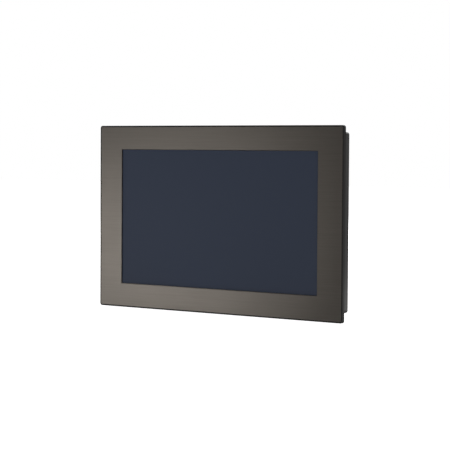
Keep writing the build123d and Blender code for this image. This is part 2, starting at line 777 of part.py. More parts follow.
def tcon_board():
    """Timing board on the back of the display, with its cable socket."""
    low = -lcd_height / 2 + TCON_RISE
    z = low + TCON_SIZE[1] / 2
    rear = tray_rear + SHEET
    board = slab(*TCON_SIZE, tray_rear, rear, 0, TCON_OFFSET, z)
    board += slab(LARGE_CHIP, LARGE_CHIP, rear, rear + CHIP_HEIGHT, 0, TCON_OFFSET, z)
    board += slab(TCON_CHIP, TCON_CHIP, rear, rear + CHIP_HEIGHT, 0, TCON_OFFSET + TCON_CHIP_OFFSET, z)
    width, depth = TCON_SOCKET_SIZE
    socket_x = CABLE_SLOT_PLACE[0]
    high = low + TCON_SIZE[1]
    return board + block(span(socket_x, width), (rear, tray_rear + TCON_SOCKET),
                         (high - depth, high))


# ---------------------------------------------------------------- rear housing

def bezel_pillars():
    """Hexagonal pillars that carry the rear housing."""
    pillars = []
    for x, z in pillar_places:
        pillar = hexagon_along_y(PILLAR_FLATS, bezel_rear, housing_floor, x, z)
        pillar += round_along_y(M3_SHANK, bezel_rear - THREAD_DEPTH + SCREW_END_GAP, bezel_rear, x, z)
        pillar -= round_along_y(M3_CORE, housing_floor - HOUSING_SCREW, housing_floor, x, z)
        pillars.append(pillar)
    return group(pillars)


def housing_screws():
    """Screws through the housing into the pillars."""
    return group(rear_screws(pillar_places, HOUSING_REAR, HOUSING_SCREW))


def rear_housing():
    """Shallow sheet steel tub behind the bezel."""
    tub = slab(housing_width, housing_height, bezel_rear, HOUSING_REAR, HOUSING_CORNER, 0, housing_z)
    tub = fillet(tub.faces().sort_by(Axis.Y)[-1].edges(), SHEET_BEND)
    tub -= slab(housing_width - 2 * SHEET, housing_height - 2 * SHEET, bezel_rear, housing_floor,
                HOUSING_CORNER - SHEET, 0, housing_z)
    for hole in holes(pillar_places, M3_HOLE, housing_floor, HOUSING_REAR):
        tub -= hole
    for hole in holes(flange_screws + panel_screws, M3_CORE, housing_floor, HOUSING_REAR):
        tub -= hole
    for hole in holes(standoff_places, STANDOFF_SPIGOT, housing_floor, HOUSING_REAR):
        tub -= hole
    slot_x, slot_z = CABLE_SLOT_PLACE
    tub -= slab(*CABLE_SLOT, housing_floor, HOUSING_REAR, CABLE_SLOT[1] / 3, slot_x, slot_z)
    half_length = CLAMP_SLOT[0] / 2
    half_width = CLAMP_SLOT[1] / 2
    for x in [side * place for side in (-1, 1) for place in CLAMP_SLOT_X]:
        for z in (housing_low, housing_top - SHEET):
            tub -= block((x - half_length, x + half_length),
                         (CLAMP_SLOT_Y - half_width, CLAMP_SLOT_Y + half_width), (z, z + SHEET))
    return tub


# ---------------------------------------------------------------- electronics

def board_standoffs():
    """Pressed studs that carry the main board."""
    studs = []
    for x, z in standoff_places:
        stud = hexagon_along_y(STANDOFF_FLATS, HOUSING_REAR, board_front, x, z)
        stud += round_along_y(STANDOFF_SPIGOT, housing_floor, HOUSING_REAR, x, z)
        studs.append(stud - round_along_y(M3_CORE, housing_floor, board_front, x, z))
    return group(studs)


def main_board():
    """Main circuit board."""
    z = board_low + BOARD_HEIGHT / 2
    board = slab(BOARD_WIDTH, BOARD_HEIGHT, board_front, board_rear, BOARD_CORNER, 0, z)
    for hole in holes(standoff_places, M3_HOLE, board_front, board_rear):
        board -= hole
    return board


def board_screws():
    """Screws that hold the main board."""
    return group(rear_screws(standoff_places, board_rear, BOARD_THICKNESS + BOARD_SCREW_GRIP))


def processor():
    """Processor package with its metal lid."""
    rear = board_rear + CPU_THICKNESS
    package = slab(CPU_SIZE, CPU_SIZE, board_rear, rear, 0, *CPU_PLACE)
    return package + slab(CPU_LID, CPU_LID, rear, rear + CPU_LID_THICKNESS, CPU_LID_CORNER, *CPU_PLACE)


def thermal_pad():
    """Soft pad between the processor and the heat sink."""
    return slab(CPU_LID, CPU_LID, sink_face - PAD_THICKNESS, sink_face, CPU_LID_CORNER, *CPU_PLACE)


def heat_sink():
    """Finned block that looks out through the cover."""
    x, z = CPU_PLACE
    width, height = SINK_OPENING
    base_front = cover_floor - SINK_BASE
    plinth_rear = COVER_REAR + SINK_PLINTH - SHEET
    sink = slab(width + 2 * SINK_RIM, height + 2 * SINK_RIM, base_front, cover_floor, SINK_CORNER, x, z)
    sink += slab(SINK_PEDESTAL, SINK_PEDESTAL, sink_face, base_front, SINK_PEDESTAL_CORNER, x, z)
    half_width = width / 2 - SINK_GAP
    half_height = height / 2 - SINK_GAP
    sink += block((x - half_width, x + half_width), (cover_floor, plinth_rear),
                  (z - half_height, z + half_height))
    fins = int((2 * half_width - FIN_THICKNESS) // FIN_PITCH) + 1
    first = x - (fins - 1) * FIN_PITCH / 2
    for number in range(fins):
        middle = first + number * FIN_PITCH
        sink += block(span(middle, FIN_THICKNESS),
                      (plinth_rear, COVER_REAR + SINK_PROUD), (z - half_height, z + half_height))
    for hole in holes(sink_screws, M3_CORE, base_front, cover_floor):
        sink -= hole
    return sink


def heat_sink_screws():
    """Screws through the cover into the heat sink."""
    return group(rear_screws(sink_screws, COVER_REAR, SHEET + SINK_BASE - SCREW_END_GAP))


def memory_socket():
    """Low socket with two spring arms for the memory module."""
    x, z = MEMORY_PLACE
    low = z - MEMORY_SIZE[1] / 2
    half = MEMORY_SIZE[0] / 2
    front = board_rear + MEMORY_HEIGHT
    rear = front + MEMORY_THICKNESS
    reach = half + MEMORY_ARM_REACH
    socket = block((x - reach, x + reach), (board_rear, rear + MEMORY_LIP), (low - MEMORY_SOCKET_DEPTH, low))
    for side in (-1, 1):
        arm = sorted((x + side * (half + MEMORY_ARM_GAP), x + side * reach))
        socket += block(arm, (board_rear, rear), (low, low + MEMORY_SIZE[1] - MEMORY_ARM_SHORT))
    return socket


def memory_module():
    """Memory module with four chips on its outer face."""
    x, z = MEMORY_PLACE
    front = board_rear + MEMORY_HEIGHT
    rear = front + MEMORY_THICKNESS
    module = slab(*MEMORY_SIZE, front, rear, 0, x, z)
    width, height, thickness = MEMORY_CHIP
    for number in range(MEMORY_CHIP_COUNT):
        chip_x = x + (number - (MEMORY_CHIP_COUNT - 1) / 2) * MEMORY_CHIP_PITCH
        module += slab(width, height, rear, rear + thickness, 0, chip_x, z + MEMORY_CHIP_RISE)
    return module


def board_components():
    """Capacitors, coils, chips and cable headers that stand on the main board."""
    pieces = standing_round(CAPACITOR, [(x, CAPACITOR_Z) for x in CAPACITOR_X])
    pieces += standing_round(CAN, [(x, CAN_Z) for x in CAN_X])
    pieces += standing_square(COIL, [(x, COIL_Z) for x in COIL_X])
    pieces += standing_square(LAN_CHIP, [(x, LAN_CHIP_Z) for x in LAN_X])
    pieces += standing_square(BRIDGE_CHIP, [BRIDGE_CHIP_PLACE])
    return group(pieces + cable_headers())


def standing_round(size, places):
    """Round components of one radius and height on the main board."""
    radius, height = size
    return [round_along_y(radius, board_rear, board_rear + height, x, z) for x, z in places]


def standing_square(size, places):
    """Square components of one side and height on the main board."""
    side, height = size
    return [slab(side, side, board_rear, board_rear + height, 0, x, z) for x, z in places]


def cable_headers():
    """Headers for the three cables that come over the board's top edge."""
    headers = []
    routes = ((lvds_route(), LVDS_HEADER), (backlight_route(), LEAD_HEADER), (touch_route(), LEAD_HEADER))
    for route, width in routes:
        x = route[-1][0]
        headers.append(block(span(x, width), (board_rear, board_rear + HEADER_HEIGHT), HEADER_Z))
    return headers


def lvds_route():
    """From the timing board up behind the display, over the main board's edge and down."""
    x = CABLE_SLOT_PLACE[0]
    start_y = tray_rear + LVDS_START
    start_z = -lcd_height / 2 + TCON_RISE + TCON_SIZE[1]
    return [(x, start_y, start_z), (x, start_y, start_z + 18), (x + 1.5, 15, -38), (x - 1, 17, 2),
            (x + 1, 16, 42), (x, 16.5, 68), (x, 16.5, CABLE_SLOT_PLACE[1]),
            (x, cable_rise(), CABLE_SLOT_PLACE[1]), (x, cable_rise(), HEADER_Z[1])]


def backlight_route():
    """From the light strip's plug to the main board."""
    x = CABLE_SLOT_PLACE[0] + BACKLIGHT_LANE
    start_z = strip_low + BACKLIGHT_PLUG[1]
    start_y = tray_rear + BACKLIGHT_START
    return [(BACKLIGHT_PLUG_X, start_y, start_z), (BACKLIGHT_PLUG_X, start_y, start_z + 18),
            (x - 13, 14, -50), (x - 9, 16, -12), (x - 6, 17, 28), (x - 1, 16, 64),
            (x, 17, CABLE_SLOT_PLACE[1]), (x, cable_rise(), CABLE_SLOT_PLACE[1]),
            (x, cable_rise(), HEADER_Z[1])]


def touch_route():
    """From the touch screen's board to the main board."""
    x = CABLE_SLOT_PLACE[0] + TOUCH_LANE
    start_y = touch_board_front() - TOUCH_START
    start_z = touch_board_low + TOUCH_BOARD[1]
    return [(TOUCH_LEAD_X, start_y, start_z), (TOUCH_LEAD_X, start_y, start_z + 24),
            (x + 10, 15.5, -28), (x + 5, 16.5, 12), (x + 1, 16, 54), (x, 17, CABLE_SLOT_PLACE[1]),
            (x, cable_rise(), CABLE_SLOT_PLACE[1]), (x, cable_rise(), HEADER_Z[1])]


def cable_rise():
    """Depth at which the cables come down into their headers."""
    return board_rear + HEADER_HEIGHT - HEADER_SHOULDER


# ---------------------------------------------------------------- rear cover

def rear_cover():
    """Sheet cover over the electronics, open at the bottom, with a screwed flange."""
    tall = COVER_TOP - COVER_BOTTOM + COVER_CORNER * 2
    z = COVER_TOP - tall / 2
    cover = slab(COVER_WIDTH, tall, HOUSING_REAR, COVER_REAR, COVER_CORNER, 0, z)
    cover = fillet(cover.faces().sort_by(Axis.Y)[-1].edges(), SHEET_BEND)
    cover += slab(COVER_WIDTH + 2 * COVER_FLANGE, tall + 2 * COVER_FLANGE, HOUSING_REAR, flange_rear,
                  COVER_CORNER, 0, z)
    cover -= slab(COVER_WIDTH - 2 * SHEET, tall + COVER_CORNER, HOUSING_REAR, cover_floor,
                  COVER_CORNER - SHEET, 0, z - SHEET - COVER_CORNER / 2)
    half = COVER_WIDTH / 2 + COVER_FLANGE
    cover -= block((-half, half), (HOUSING_REAR, COVER_REAR), (COVER_BOTTOM - tall, COVER_BOTTOM))
    cover -= slab(*SINK_OPENING, cover_floor, COVER_REAR, 0, *CPU_PLACE)
    cover -= slab(FLAP_WIDTH - 2 * FLAP_OVERLAP, FLAP_HEIGHT - 4 * FLAP_OVERLAP, cover_floor, COVER_REAR,
                  BATTERY_WINDOW_CORNER, FLAP_X, flap_z + FLAP_OVERLAP)
    cover -= round_along_y(THUMB_SHANK + THUMB_CLEARANCE, cover_floor, COVER_REAR, FLAP_X, thumb_z)
    round_holes = holes(flange_screws, M3_HOLE, HOUSING_REAR, flange_rear)
    round_holes += holes(sink_screws + strap_screws, M3_HOLE, cover_floor, COVER_REAR)
    round_holes += holes(vesa_places(), INSERT_BODY, cover_floor, COVER_REAR)
    for hole in round_holes:
        cover -= hole
    for number in range(VENT_COUNT):
        x = VENT_PLACE[0] + (number - (VENT_COUNT - 1) / 2) * VENT_PITCH
        cover -= slab(*VENT_SLOT, cover_floor, COVER_REAR, VENT_SLOT[0] / 2.1, x, VENT_PLACE[1])
    middle = (flange_rear + cover_floor) / 2
    for number in range(TOP_VENT_COUNT):
        x = (number - (TOP_VENT_COUNT - 1) / 2) * TOP_VENT_PITCH
        half_length = TOP_VENT_SLOT[0] / 2
        half_width = TOP_VENT_SLOT[1] / 2
        for y in (middle - 2 * half_width, middle + 4 * half_width):
            cover -= block((x - half_length, x + half_length), (y - half_width, y + half_width),
                           (cover_inner_top, COVER_TOP))
    return cover


def vesa_places():
    """Corners of the standard arm mount's square."""
    return [(x, z) for x in (-VESA / 2, VESA / 2) for z in (-VESA / 2, VESA / 2)]


def vesa_inserts():
    """Threaded bushes pressed in from inside the cover."""
    bushes = []
    for x, z in vesa_places():
        bush = round_along_y(INSERT_FLANGE, COVER_REAR - INSERT_LENGTH, cover_floor, x, z)
        bush += round_along_y(INSERT_BODY, cover_floor, COVER_REAR, x, z)
        bushes.append(bush - round_along_y(M4_CORE, COVER_REAR - INSERT_LENGTH, COVER_REAR, x, z))
    return group(bushes)


def rear_cover_screws():
    """Screws that hold the cover and the socket panel."""
    screws = rear_screws(flange_screws + panel_screws, flange_rear, SHEET * 2)
    return group(screws + rear_screws(strap_screws, COVER_REAR, SHEET * 2))


def io_plate():
    """Folded steel panel that closes the bottom and frames the sockets."""
    half = cover_inner_x - PANEL_CLEARANCE
    top = panel_top + PANEL_FLANGE
    plate = block((-half, half), (HOUSING_REAR, cover_floor), (COVER_BOTTOM, panel_top))
    plate += block((-half, half), (HOUSING_REAR, flange_rear), (panel_top, top))
    for x, z in strap_screws:
        plate += block(span(x, STRAP_WIDTH), (cover_floor - SHEET, cover_floor),
                       (panel_top, top))
    for hole in holes(panel_screws, M3_HOLE, HOUSING_REAR, flange_rear):
        plate -= hole
    for hole in holes(strap_screws, M3_CORE, cover_floor - SHEET, cover_floor):
        plate -= hole
    for cut in io_cuts():
        plate -= cut
    return plate


def io_cuts():
    """Cut-outs for everything that looks out of the bottom."""
    depth = (COVER_BOTTOM, panel_top)
    gap = SOCKET_CLEARANCE
    cuts = []
    for x, width, height in ([(x, *LAN_SIZE[:2]) for x in LAN_X] + [(x, *USB_SIZE[:2]) for x in USB_X]
                             + [(POWER_X, *HEADER_SIZE[:2])]):
        cuts.append(block((x - width / 2 - gap, x + width / 2 + gap),
                          (board_rear - gap, board_rear + height + gap), depth))
    shell_x, shell_y = SERIAL_SHELL
    cuts.append(block((SERIAL_X - shell_x / 2 - gap, SERIAL_X + shell_x / 2 + gap),
                      (serial_y - shell_y / 2 - gap, serial_y + shell_y / 2 + gap), depth))
    cuts += [round_along_z(M3_HOLE, x, serial_y, *depth) for x in jackscrew_places()]
    barrel_x, barrel_y = SWITCH_BARREL[:2]
    reach_x = barrel_x / 2 + SWITCH_CLEARANCE
    reach_y = barrel_y / 2 + SWITCH_CLEARANCE
    cuts.append(block((SWITCH_X - reach_x, SWITCH_X + reach_x), (SWITCH_Y - reach_y, SWITCH_Y + reach_y), depth))
    cuts.append(round_along_z(RESET_RADIUS + RESET_CLEARANCE, RESET_X, reset_y, *depth))
    cuts.append(round_along_z(M4_CORE, EARTH_X, EARTH_Y, *depth))
    slot = CARD_CLEARANCE * 2
    cuts.append(block((CARD_X - CARD_SIZE[0] / 2 - slot, CARD_X + CARD_SIZE[0] / 2 + slot),
                      (card_y - CARD_SIZE[1] / 2 - slot, card_y + CARD_SIZE[1] / 2 + slot), depth))
    return cuts


def earth_stud():
    """Earth stud through the socket panel."""
    head = round_along_z(NUT_FLATS / 2, EARTH_X, EARTH_Y, panel_top, panel_top + STUD_HEAD)
    return head + round_along_z(M4_SHANK, EARTH_X, EARTH_Y, COVER_BOTTOM - STUD_LENGTH, panel_top)


def earth_nut():
    """Flanged nut on the earth stud."""
    low = COVER_BOTTOM - WASHER_THICKNESS
    nut = round_along_z(NUT_FLATS / 2 + WASHER_RIM, EARTH_X, EARTH_Y, low, COVER_BOTTOM)
    nut += hexagon_along_z(NUT_FLATS, EARTH_X, EARTH_Y, low - NUT_HEIGHT, low)
    return nut - round_along_z(M4_CORE, EARTH_X, EARTH_Y, low - NUT_HEIGHT, COVER_BOTTOM)


# ---------------------------------------------------------------- sockets

def lan_ports():
    """Two network sockets, open at the bottom."""
    ports = []
    for x in LAN_X:
        width, height, depth = LAN_SIZE
        middle = board_rear + height / 2
        shell = block(span(x, width), (board_rear, board_rear + height), (mouth, mouth + depth))
        jack_x, jack_y, jack_z = LAN_JACK
        shell -= block(span(x, jack_x), span(middle, jack_y),
                       (mouth, mouth + jack_z))
        notch_x, notch_y = LATCH_NOTCH
        shell -= block(span(x, notch_x), (middle + jack_y / 2, middle + jack_y / 2 + notch_y),
                       (mouth, mouth + jack_z / 2))
        ports.append(shell)
    return group(ports)


def usb_ports():
    """Two double sockets with their tongues."""
    ports = []
    for x in USB_X:
        width, height, depth = USB_SIZE
        shell = block(span(x, width), (board_rear, board_rear + height), (mouth, mouth + depth))
        for middle in [board_rear + height * share for share in USB_ROWS]:
            mouth_x, mouth_y, mouth_z = USB_MOUTH
            shell -= block(span(x, mouth_x), span(middle, mouth_y),
                           (mouth, mouth + mouth_z))
            tongue_x, tongue_y, tongue_z = USB_TONGUE
            root = mouth + mouth_z
            shell += block(span(x, tongue_x),
                           (middle - mouth_y / 4 - tongue_y / 2, middle - mouth_y / 4 + tongue_y / 2),
                           (root - tongue_z, root))
        ports.append(shell)
    return group(ports)


def jackscrew_places():
    """Places of the serial socket's two screws."""
    return span(SERIAL_X, JACKSCREW_SPACING)


def serial_port():
    """Serial socket: flange inside the panel and a shell with nine pins outside it."""
    width, height, thickness = SERIAL_FLANGE
    shell_x, shell_y = SERIAL_SHELL
    body_x, body_y, body_z = SERIAL_BODY
    low = COVER_BOTTOM - SERIAL_PROUD
    flange_top = panel_top + thickness
    body_top = panel_top + body_z
    port = block(span(SERIAL_X, width), span(serial_y, height),
                 (panel_top, flange_top))
    port += block(span(SERIAL_X, body_x), (board_rear, serial_y + body_y),
                  (flange_top, body_top))
    top = shell_x / 2
    base = top - shell_y * SERIAL_SLANT
    outline = Polygon((-base, -shell_y / 2), (base, -shell_y / 2), (top, shell_y / 2), (-top, shell_y / 2),
                      align=None)
    shell = Pos(SERIAL_X, serial_y, low) * extrude(outline, panel_top - low)
    shell -= Pos(SERIAL_X, serial_y, low) * extrude(offset(outline, -SERIAL_WALL), SERIAL_PROUD)
    port += shell
    for row, count in SERIAL_ROWS:
        for number in range(count):
            x = SERIAL_X + (number - (count - 1) / 2) * SERIAL_PITCH
            port += round_along_z(PIN_RADIUS, x, serial_y + row, low + SERIAL_PIN_SINK, COVER_BOTTOM)
    for x in jackscrew_places():
        port -= round_along_z(M3_HOLE, x, serial_y, panel_top, body_top)
    return port


def serial_jackscrews():
    """Hexagonal screws either side of the serial socket."""
    screws = []
    for x in jackscrew_places():
        low = COVER_BOTTOM - JACKSCREW_HEAD
        screw = hexagon_along_z(JACKSCREW_FLATS, x, serial_y, low, COVER_BOTTOM)
        screw += round_along_z(M3_SHANK, x, serial_y, COVER_BOTTOM, panel_top + JACKSCREW_GRIP)
        screws.append(screw - round_along_z(M3_SHANK, x, serial_y, low, COVER_BOTTOM - JACKSCREW_FLOOR))
    return group(screws)


def pin_places():
    """Places across the power header's three pins."""
    return [POWER_X + number * PIN_PITCH for number in (-1, 0, 1)]


def power_header():
    """Three-pole header with a shroud that the plug slides into."""
    width, height, depth = HEADER_SIZE
    header = block(span(POWER_X, width), (board_rear, board_rear + height),
                   (mouth, mouth + depth))
    cavity_x, cavity_y, cavity_z = HEADER_CAVITY
    header -= block(span(POWER_X, cavity_x),
                    span(header_y, cavity_y), (mouth, mouth + cavity_z))
    for x in pin_places():
        header += round_along_z(PIN_RADIUS, x, header_y, mouth + PIN_SINK, mouth + cavity_z)
    return header


def power_plug():
    """Pluggable terminal block with three wire mouths."""
    cavity_x, cavity_y, cavity_z = HEADER_CAVITY
    half_x = cavity_x / 2 - PLUG_CLEARANCE
    half_y = cavity_y / 2 - PLUG_CLEARANCE
    body_x, body_y, body_z = PLUG_BODY
    front = header_y - half_y
    plug = block((POWER_X - half_x, POWER_X + half_x), (front, header_y + half_y),
                 (plug_top, mouth + PLUG_DEPTH))
    low = plug_top - body_z
    plug += block(span(POWER_X, body_x), (front, front + body_y), (low, plug_top))
    top_edges = plug.edges().filter_by(Axis.Z).filter_by_position(Axis.Z, low, plug_top)
    plug = fillet(top_edges, PLUG_EDGE)
    for x in pin_places():
        plug -= round_along_z(PIN_RADIUS + PIN_CLEARANCE, x, header_y, mouth - PIN_SINK, mouth + PLUG_DEPTH)
        plug -= block(span(x, WIRE_MOUTH),
                      span(header_y, WIRE_MOUTH), (low, low + body_z / 2))
        plug -= round_along_y(PLUG_SCREW_RADIUS + PIVOT_CLEARANCE, front + body_y - PLUG_SCREW_WELL,
                              front + body_y, x, plug_top - body_z / 2)
    return plug


def plug_screws():
    """Slotted clamp screws in the plug."""
    rear = header_y - HEADER_CAVITY[1] / 2 + PLUG_CLEARANCE + PLUG_BODY[1]
    z = plug_top - PLUG_BODY[2] / 2
    half = PLUG_SCREW_SLOT[0] / 2
    slot = (rear - PLUG_SCREW_SINK - PLUG_SCREW_SLOT[1], rear - PLUG_SCREW_SINK)
    screws = []
    for x in pin_places():
        screw = round_along_y(PLUG_SCREW_RADIUS, rear - PLUG_SCREW_WELL, rear - PLUG_SCREW_SINK, x, z)
        screws.append(screw - block((x - PLUG_SCREW_RADIUS, x + PLUG_SCREW_RADIUS), slot, (z - half, z + half)))
    return group(screws)


# ---------------------------------------------------------------- switch and button

def power_switch_body():
    """Snap-in case of the rocker switch, with two tabs."""
    rim_x, rim_y, rim_z = SWITCH_FLANGE
    barrel_x, barrel_y, barrel_z = SWITCH_BARREL
    cavity_x, cavity_y, cavity_z = SWITCH_CAVITY
    body = block(span(SWITCH_X, rim_x),
                 span(SWITCH_Y, rim_y), (switch_low, COVER_BOTTOM))
    body = chamfer(body.faces().sort_by(Axis.Z)[0].edges(), rim_z / 3)
    body += block(span(SWITCH_X, barrel_x),
                  span(SWITCH_Y, barrel_y), (COVER_BOTTOM, COVER_BOTTOM + barrel_z))
    body -= block(span(SWITCH_X, cavity_x),
                  span(SWITCH_Y, cavity_y), (switch_low, switch_low + cavity_z))
    reach = cavity_y / 2 + PIVOT_SEAT
    body -= round_along_y(ROCKER_PIVOT + PIVOT_CLEARANCE, SWITCH_Y - reach, SWITCH_Y + reach, SWITCH_X, pivot_z)
    tab_x, tab_y, tab_z = SWITCH_TAB
    for x in (SWITCH_X - SWITCH_TAB_X, SWITCH_X + SWITCH_TAB_X):
        body += block(span(x, tab_x), span(SWITCH_Y, tab_y),
                      (COVER_BOTTOM + barrel_z, COVER_BOTTOM + barrel_z + tab_z))
    return body


def power_rocker():
    """Rocker with a hollow-backed face, stored with its left end pressed in."""
    length, width = ROCKER_SIZE
    end = length / 2
    keel, top = ROCKER_KEEL
    outline = Polygon((-end, -ROCKER_END), (0, -ROCKER_WAIST), (end, -ROCKER_END), (end, ROCKER_SHOULDER),
                      (keel, top), (-keel, top), (-end, ROCKER_SHOULDER), align=None)
    rocker = extrude(Plane.XZ * outline, width / 2, both=True)
    rocker += Rot(90, 0, 0) * Cylinder(ROCKER_PIVOT, SWITCH_CAVITY[1] + 2 * PIVOT_END)
    return Pos(SWITCH_X, SWITCH_Y, pivot_z) * Rot(0, ROCKER_TILT, 0) * rocker


def reset_switch():
    """Small push switch at the board's edge."""
    width, height, length = RESET_BODY
    low = panel_top + RESET_COLLAR_GAP + RESET_COLLAR_THICKNESS + RESET_TRAVEL + RESET_SLACK
    return block(span(RESET_X, width), (board_rear, board_rear + height), (low, low + length))


def reset_button():
    """Small cap with a collar that keeps it in the panel."""
    collar_low = panel_top + RESET_COLLAR_GAP
    collar_top = collar_low + RESET_COLLAR_THICKNESS
    cap = round_along_z(RESET_RADIUS, RESET_X, reset_y, COVER_BOTTOM - RESET_PROUD, collar_low)
    cap = chamfer(cap.edges().sort_by(Axis.Z)[0], RESET_EDGE)
    cap += round_along_z(RESET_COLLAR, RESET_X, reset_y, collar_low, collar_top)
    return cap


# ---------------------------------------------------------------- card and battery

def memory_card():
    """Memory card with a cut corner."""
    width, thickness, length = CARD_SIZE
    half = width / 2
    outline = Polygon((-half, 0), (half, 0), (half, length - CARD_CUT), (half - CARD_CUT, length), (-half, length),
                      align=None)
    card = extrude(Plane.XZ * outline, thickness / 2, both=True)
    return Pos(CARD_X, card_y, card_low) * card


def card_socket():
    """Socket for the memory card on the board's edge."""
    width, height, length = CARD_SIZE
    socket_x, socket_y, socket_z = CARD_SOCKET
    low = panel_top + BOARD_EDGE_GAP
    socket = block(span(CARD_X, socket_x), (board_rear, board_rear + socket_y),
                   (low, low + socket_z))
    gap = CARD_CLEARANCE
    return socket - block((CARD_X - width / 2 - gap, CARD_X + width / 2 + gap),
                          (card_y - height / 2 - gap, card_y + height / 2 + gap),
                          (low, card_low + length + gap))


def battery_holder():
    """Open holder for the clock battery."""
    x, z = BATTERY_PLACE
    floor = board_rear + BATTERY_FLOOR
    rim = board_rear + BATTERY_THICKNESS + HOLDER_RIM
    holder = slab(*HOLDER_SIZE, board_rear, rim, HOLDER_CORNER, x, z)
    return holder - round_along_y(BATTERY_RADIUS + CARD_CLEARANCE, floor, rim, x, z)


def battery():
    """Coin battery."""
    front = board_rear + BATTERY_FLOOR
    cell = round_along_y(BATTERY_RADIUS, front, front + BATTERY_THICKNESS, *BATTERY_PLACE)
    return chamfer(cell.edges().sort_by(Axis.Y)[-1], BATTERY_EDGE)


def service_flap():
    """Hinged flap over the battery, with a knuckle along its top."""
    flap = slab(FLAP_WIDTH, FLAP_HEIGHT, flap_front, flap_rear, FLAP_CORNER, FLAP_X, flap_z)
    half = FLAP_WIDTH / 2 - EAR_WIDTH - EAR_GAP
    sides = (FLAP_X - half, FLAP_X + half)
    flap += block(sides, (hinge_y - KNUCKLE, flap_rear), (flap_top - FLAP_LAP, HINGE_Z))
    flap += round_along_x(KNUCKLE, hinge_y, HINGE_Z, *sides)
    flap -= round_along_x(HINGE_PIN + PIVOT_CLEARANCE, hinge_y, HINGE_Z, *sides)
    return flap - round_along_y(THUMB_SHANK, flap_front, flap_rear, FLAP_X, thumb_z)


def flap_bracket():
    """Two ears on a strip above the flap."""
    half = FLAP_WIDTH / 2
    strip_bottom = HINGE_Z + KNUCKLE + EAR_GAP
    bracket = block((FLAP_X - half, FLAP_X + half), (COVER_REAR, COVER_REAR + SHEET),
                    (strip_bottom, strip_bottom + BRACKET_STRIP))
    for side in (-1, 1):
        ear = sorted((FLAP_X + side * half, FLAP_X + side * (half - EAR_WIDTH)))
        bracket += block(ear, (COVER_REAR, hinge_y), (HINGE_Z, strip_bottom))
        bracket += round_along_x(KNUCKLE, hinge_y, HINGE_Z, *ear)
        bracket -= round_along_x(HINGE_PIN, hinge_y, HINGE_Z, *ear)
    return bracket


def flap_pin():
    """Hinge pin of the flap."""
    half = FLAP_WIDTH / 2
    return round_along_x(HINGE_PIN, hinge_y, HINGE_Z, FLAP_X - half, FLAP_X + half)


def flap_screw():
    """Captive thumb screw near the flap's bottom edge."""
    head = round_along_y(THUMB_RADIUS, flap_rear, flap_rear + THUMB_HEIGHT, FLAP_X, thumb_z)
    head = chamfer(head.edges().sort_by(Axis.Y)[-1], THUMB_EDGE)
    return head + round_along_y(THUMB_SHANK, cover_floor - THUMB_END, flap_rear, FLAP_X, thumb_z)


# ---------------------------------------------------------------- every sub-part, by name

subparts = {
    "bezel_frame": bezel_frame(),
    "panel_gasket": panel_gasket(),
    "fascia_plate": fascia_plate(),
    "fascia_adhesive": fascia_adhesive(),
    "touch_seal": touch_seal(),
    "touch_panel": touch_panel(),
    "touch_tail": touch_tail(),
    "touch_board": touch_board(),
    "lcd_dust_seal": lcd_dust_seal(),
    "lcd_front_frame": lcd_front_frame(),
    "lcd_mid_frame": lcd_mid_frame(),
    "lcd_cell": lcd_cell(),
    "optical_films": optical_films(),
    "light_guide": light_guide(),
    "led_strip": led_strip(),
    "lcd_back_tray": lcd_back_tray(),
    "tcon_board": tcon_board(),
    "lcd_brackets": group([lcd_bracket(side) for side in (-1, 1)]),
    "bracket_screws": bracket_screws(),
    "bezel_pillars": bezel_pillars(),
    "rear_housing": rear_housing(),
    "housing_screws": housing_screws(),
    "board_standoffs": board_standoffs(),
    "main_board": main_board(),
    "board_screws": board_screws(),
    "processor": processor(),
    "thermal_pad": thermal_pad(),
    "heat_sink": heat_sink(),
    "heat_sink_screws": heat_sink_screws(),
    "memory_socket": memory_socket(),
    "memory_module": memory_module(),
    "board_components": board_components(),
    "lvds_cable": cable(lvds_route(), LVDS_DIAMETER),
    "backlight_cable": cable(backlight_route(), LEAD_DIAMETER),
    "touch_cable": cable(touch_route(), LEAD_DIAMETER),
    "rear_cover": rear_cover(),
    "rear_cover_screws": rear_cover_screws(),
    "vesa_inserts": vesa_inserts(),
    "io_plate": io_plate(),
    "earth_stud": earth_stud(),
    "earth_nut": earth_nut(),
    "lan_ports": lan_ports(),
    "usb_ports": usb_ports(),
    "serial_port": serial_port(),
    "serial_jackscrews": serial_jackscrews(),
    "power_header": power_header(),
    "power_plug": power_plug(),
    "plug_screws": plug_screws(),
    "power_switch_body": power_switch_body(),
    "power_rocker": power_rocker(),
    "reset_switch": reset_switch(),
    "reset_button": reset_button(),
    "card_socket": card_socket(),
    "memory_card": memory_card(),
    "battery_holder": battery_holder(),
    "battery": battery(),
    "service_flap": service_flap(),
    "flap_bracket": flap_bracket(),
    "flap_pin": flap_pin(),
    "flap_screw": flap_screw(),
}

for name, shape in subparts.items():
    export_step(shape, f"parts/{name}.step")
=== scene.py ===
"""Looks of a flat widescreen touch panel computer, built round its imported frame."""
import json
import math

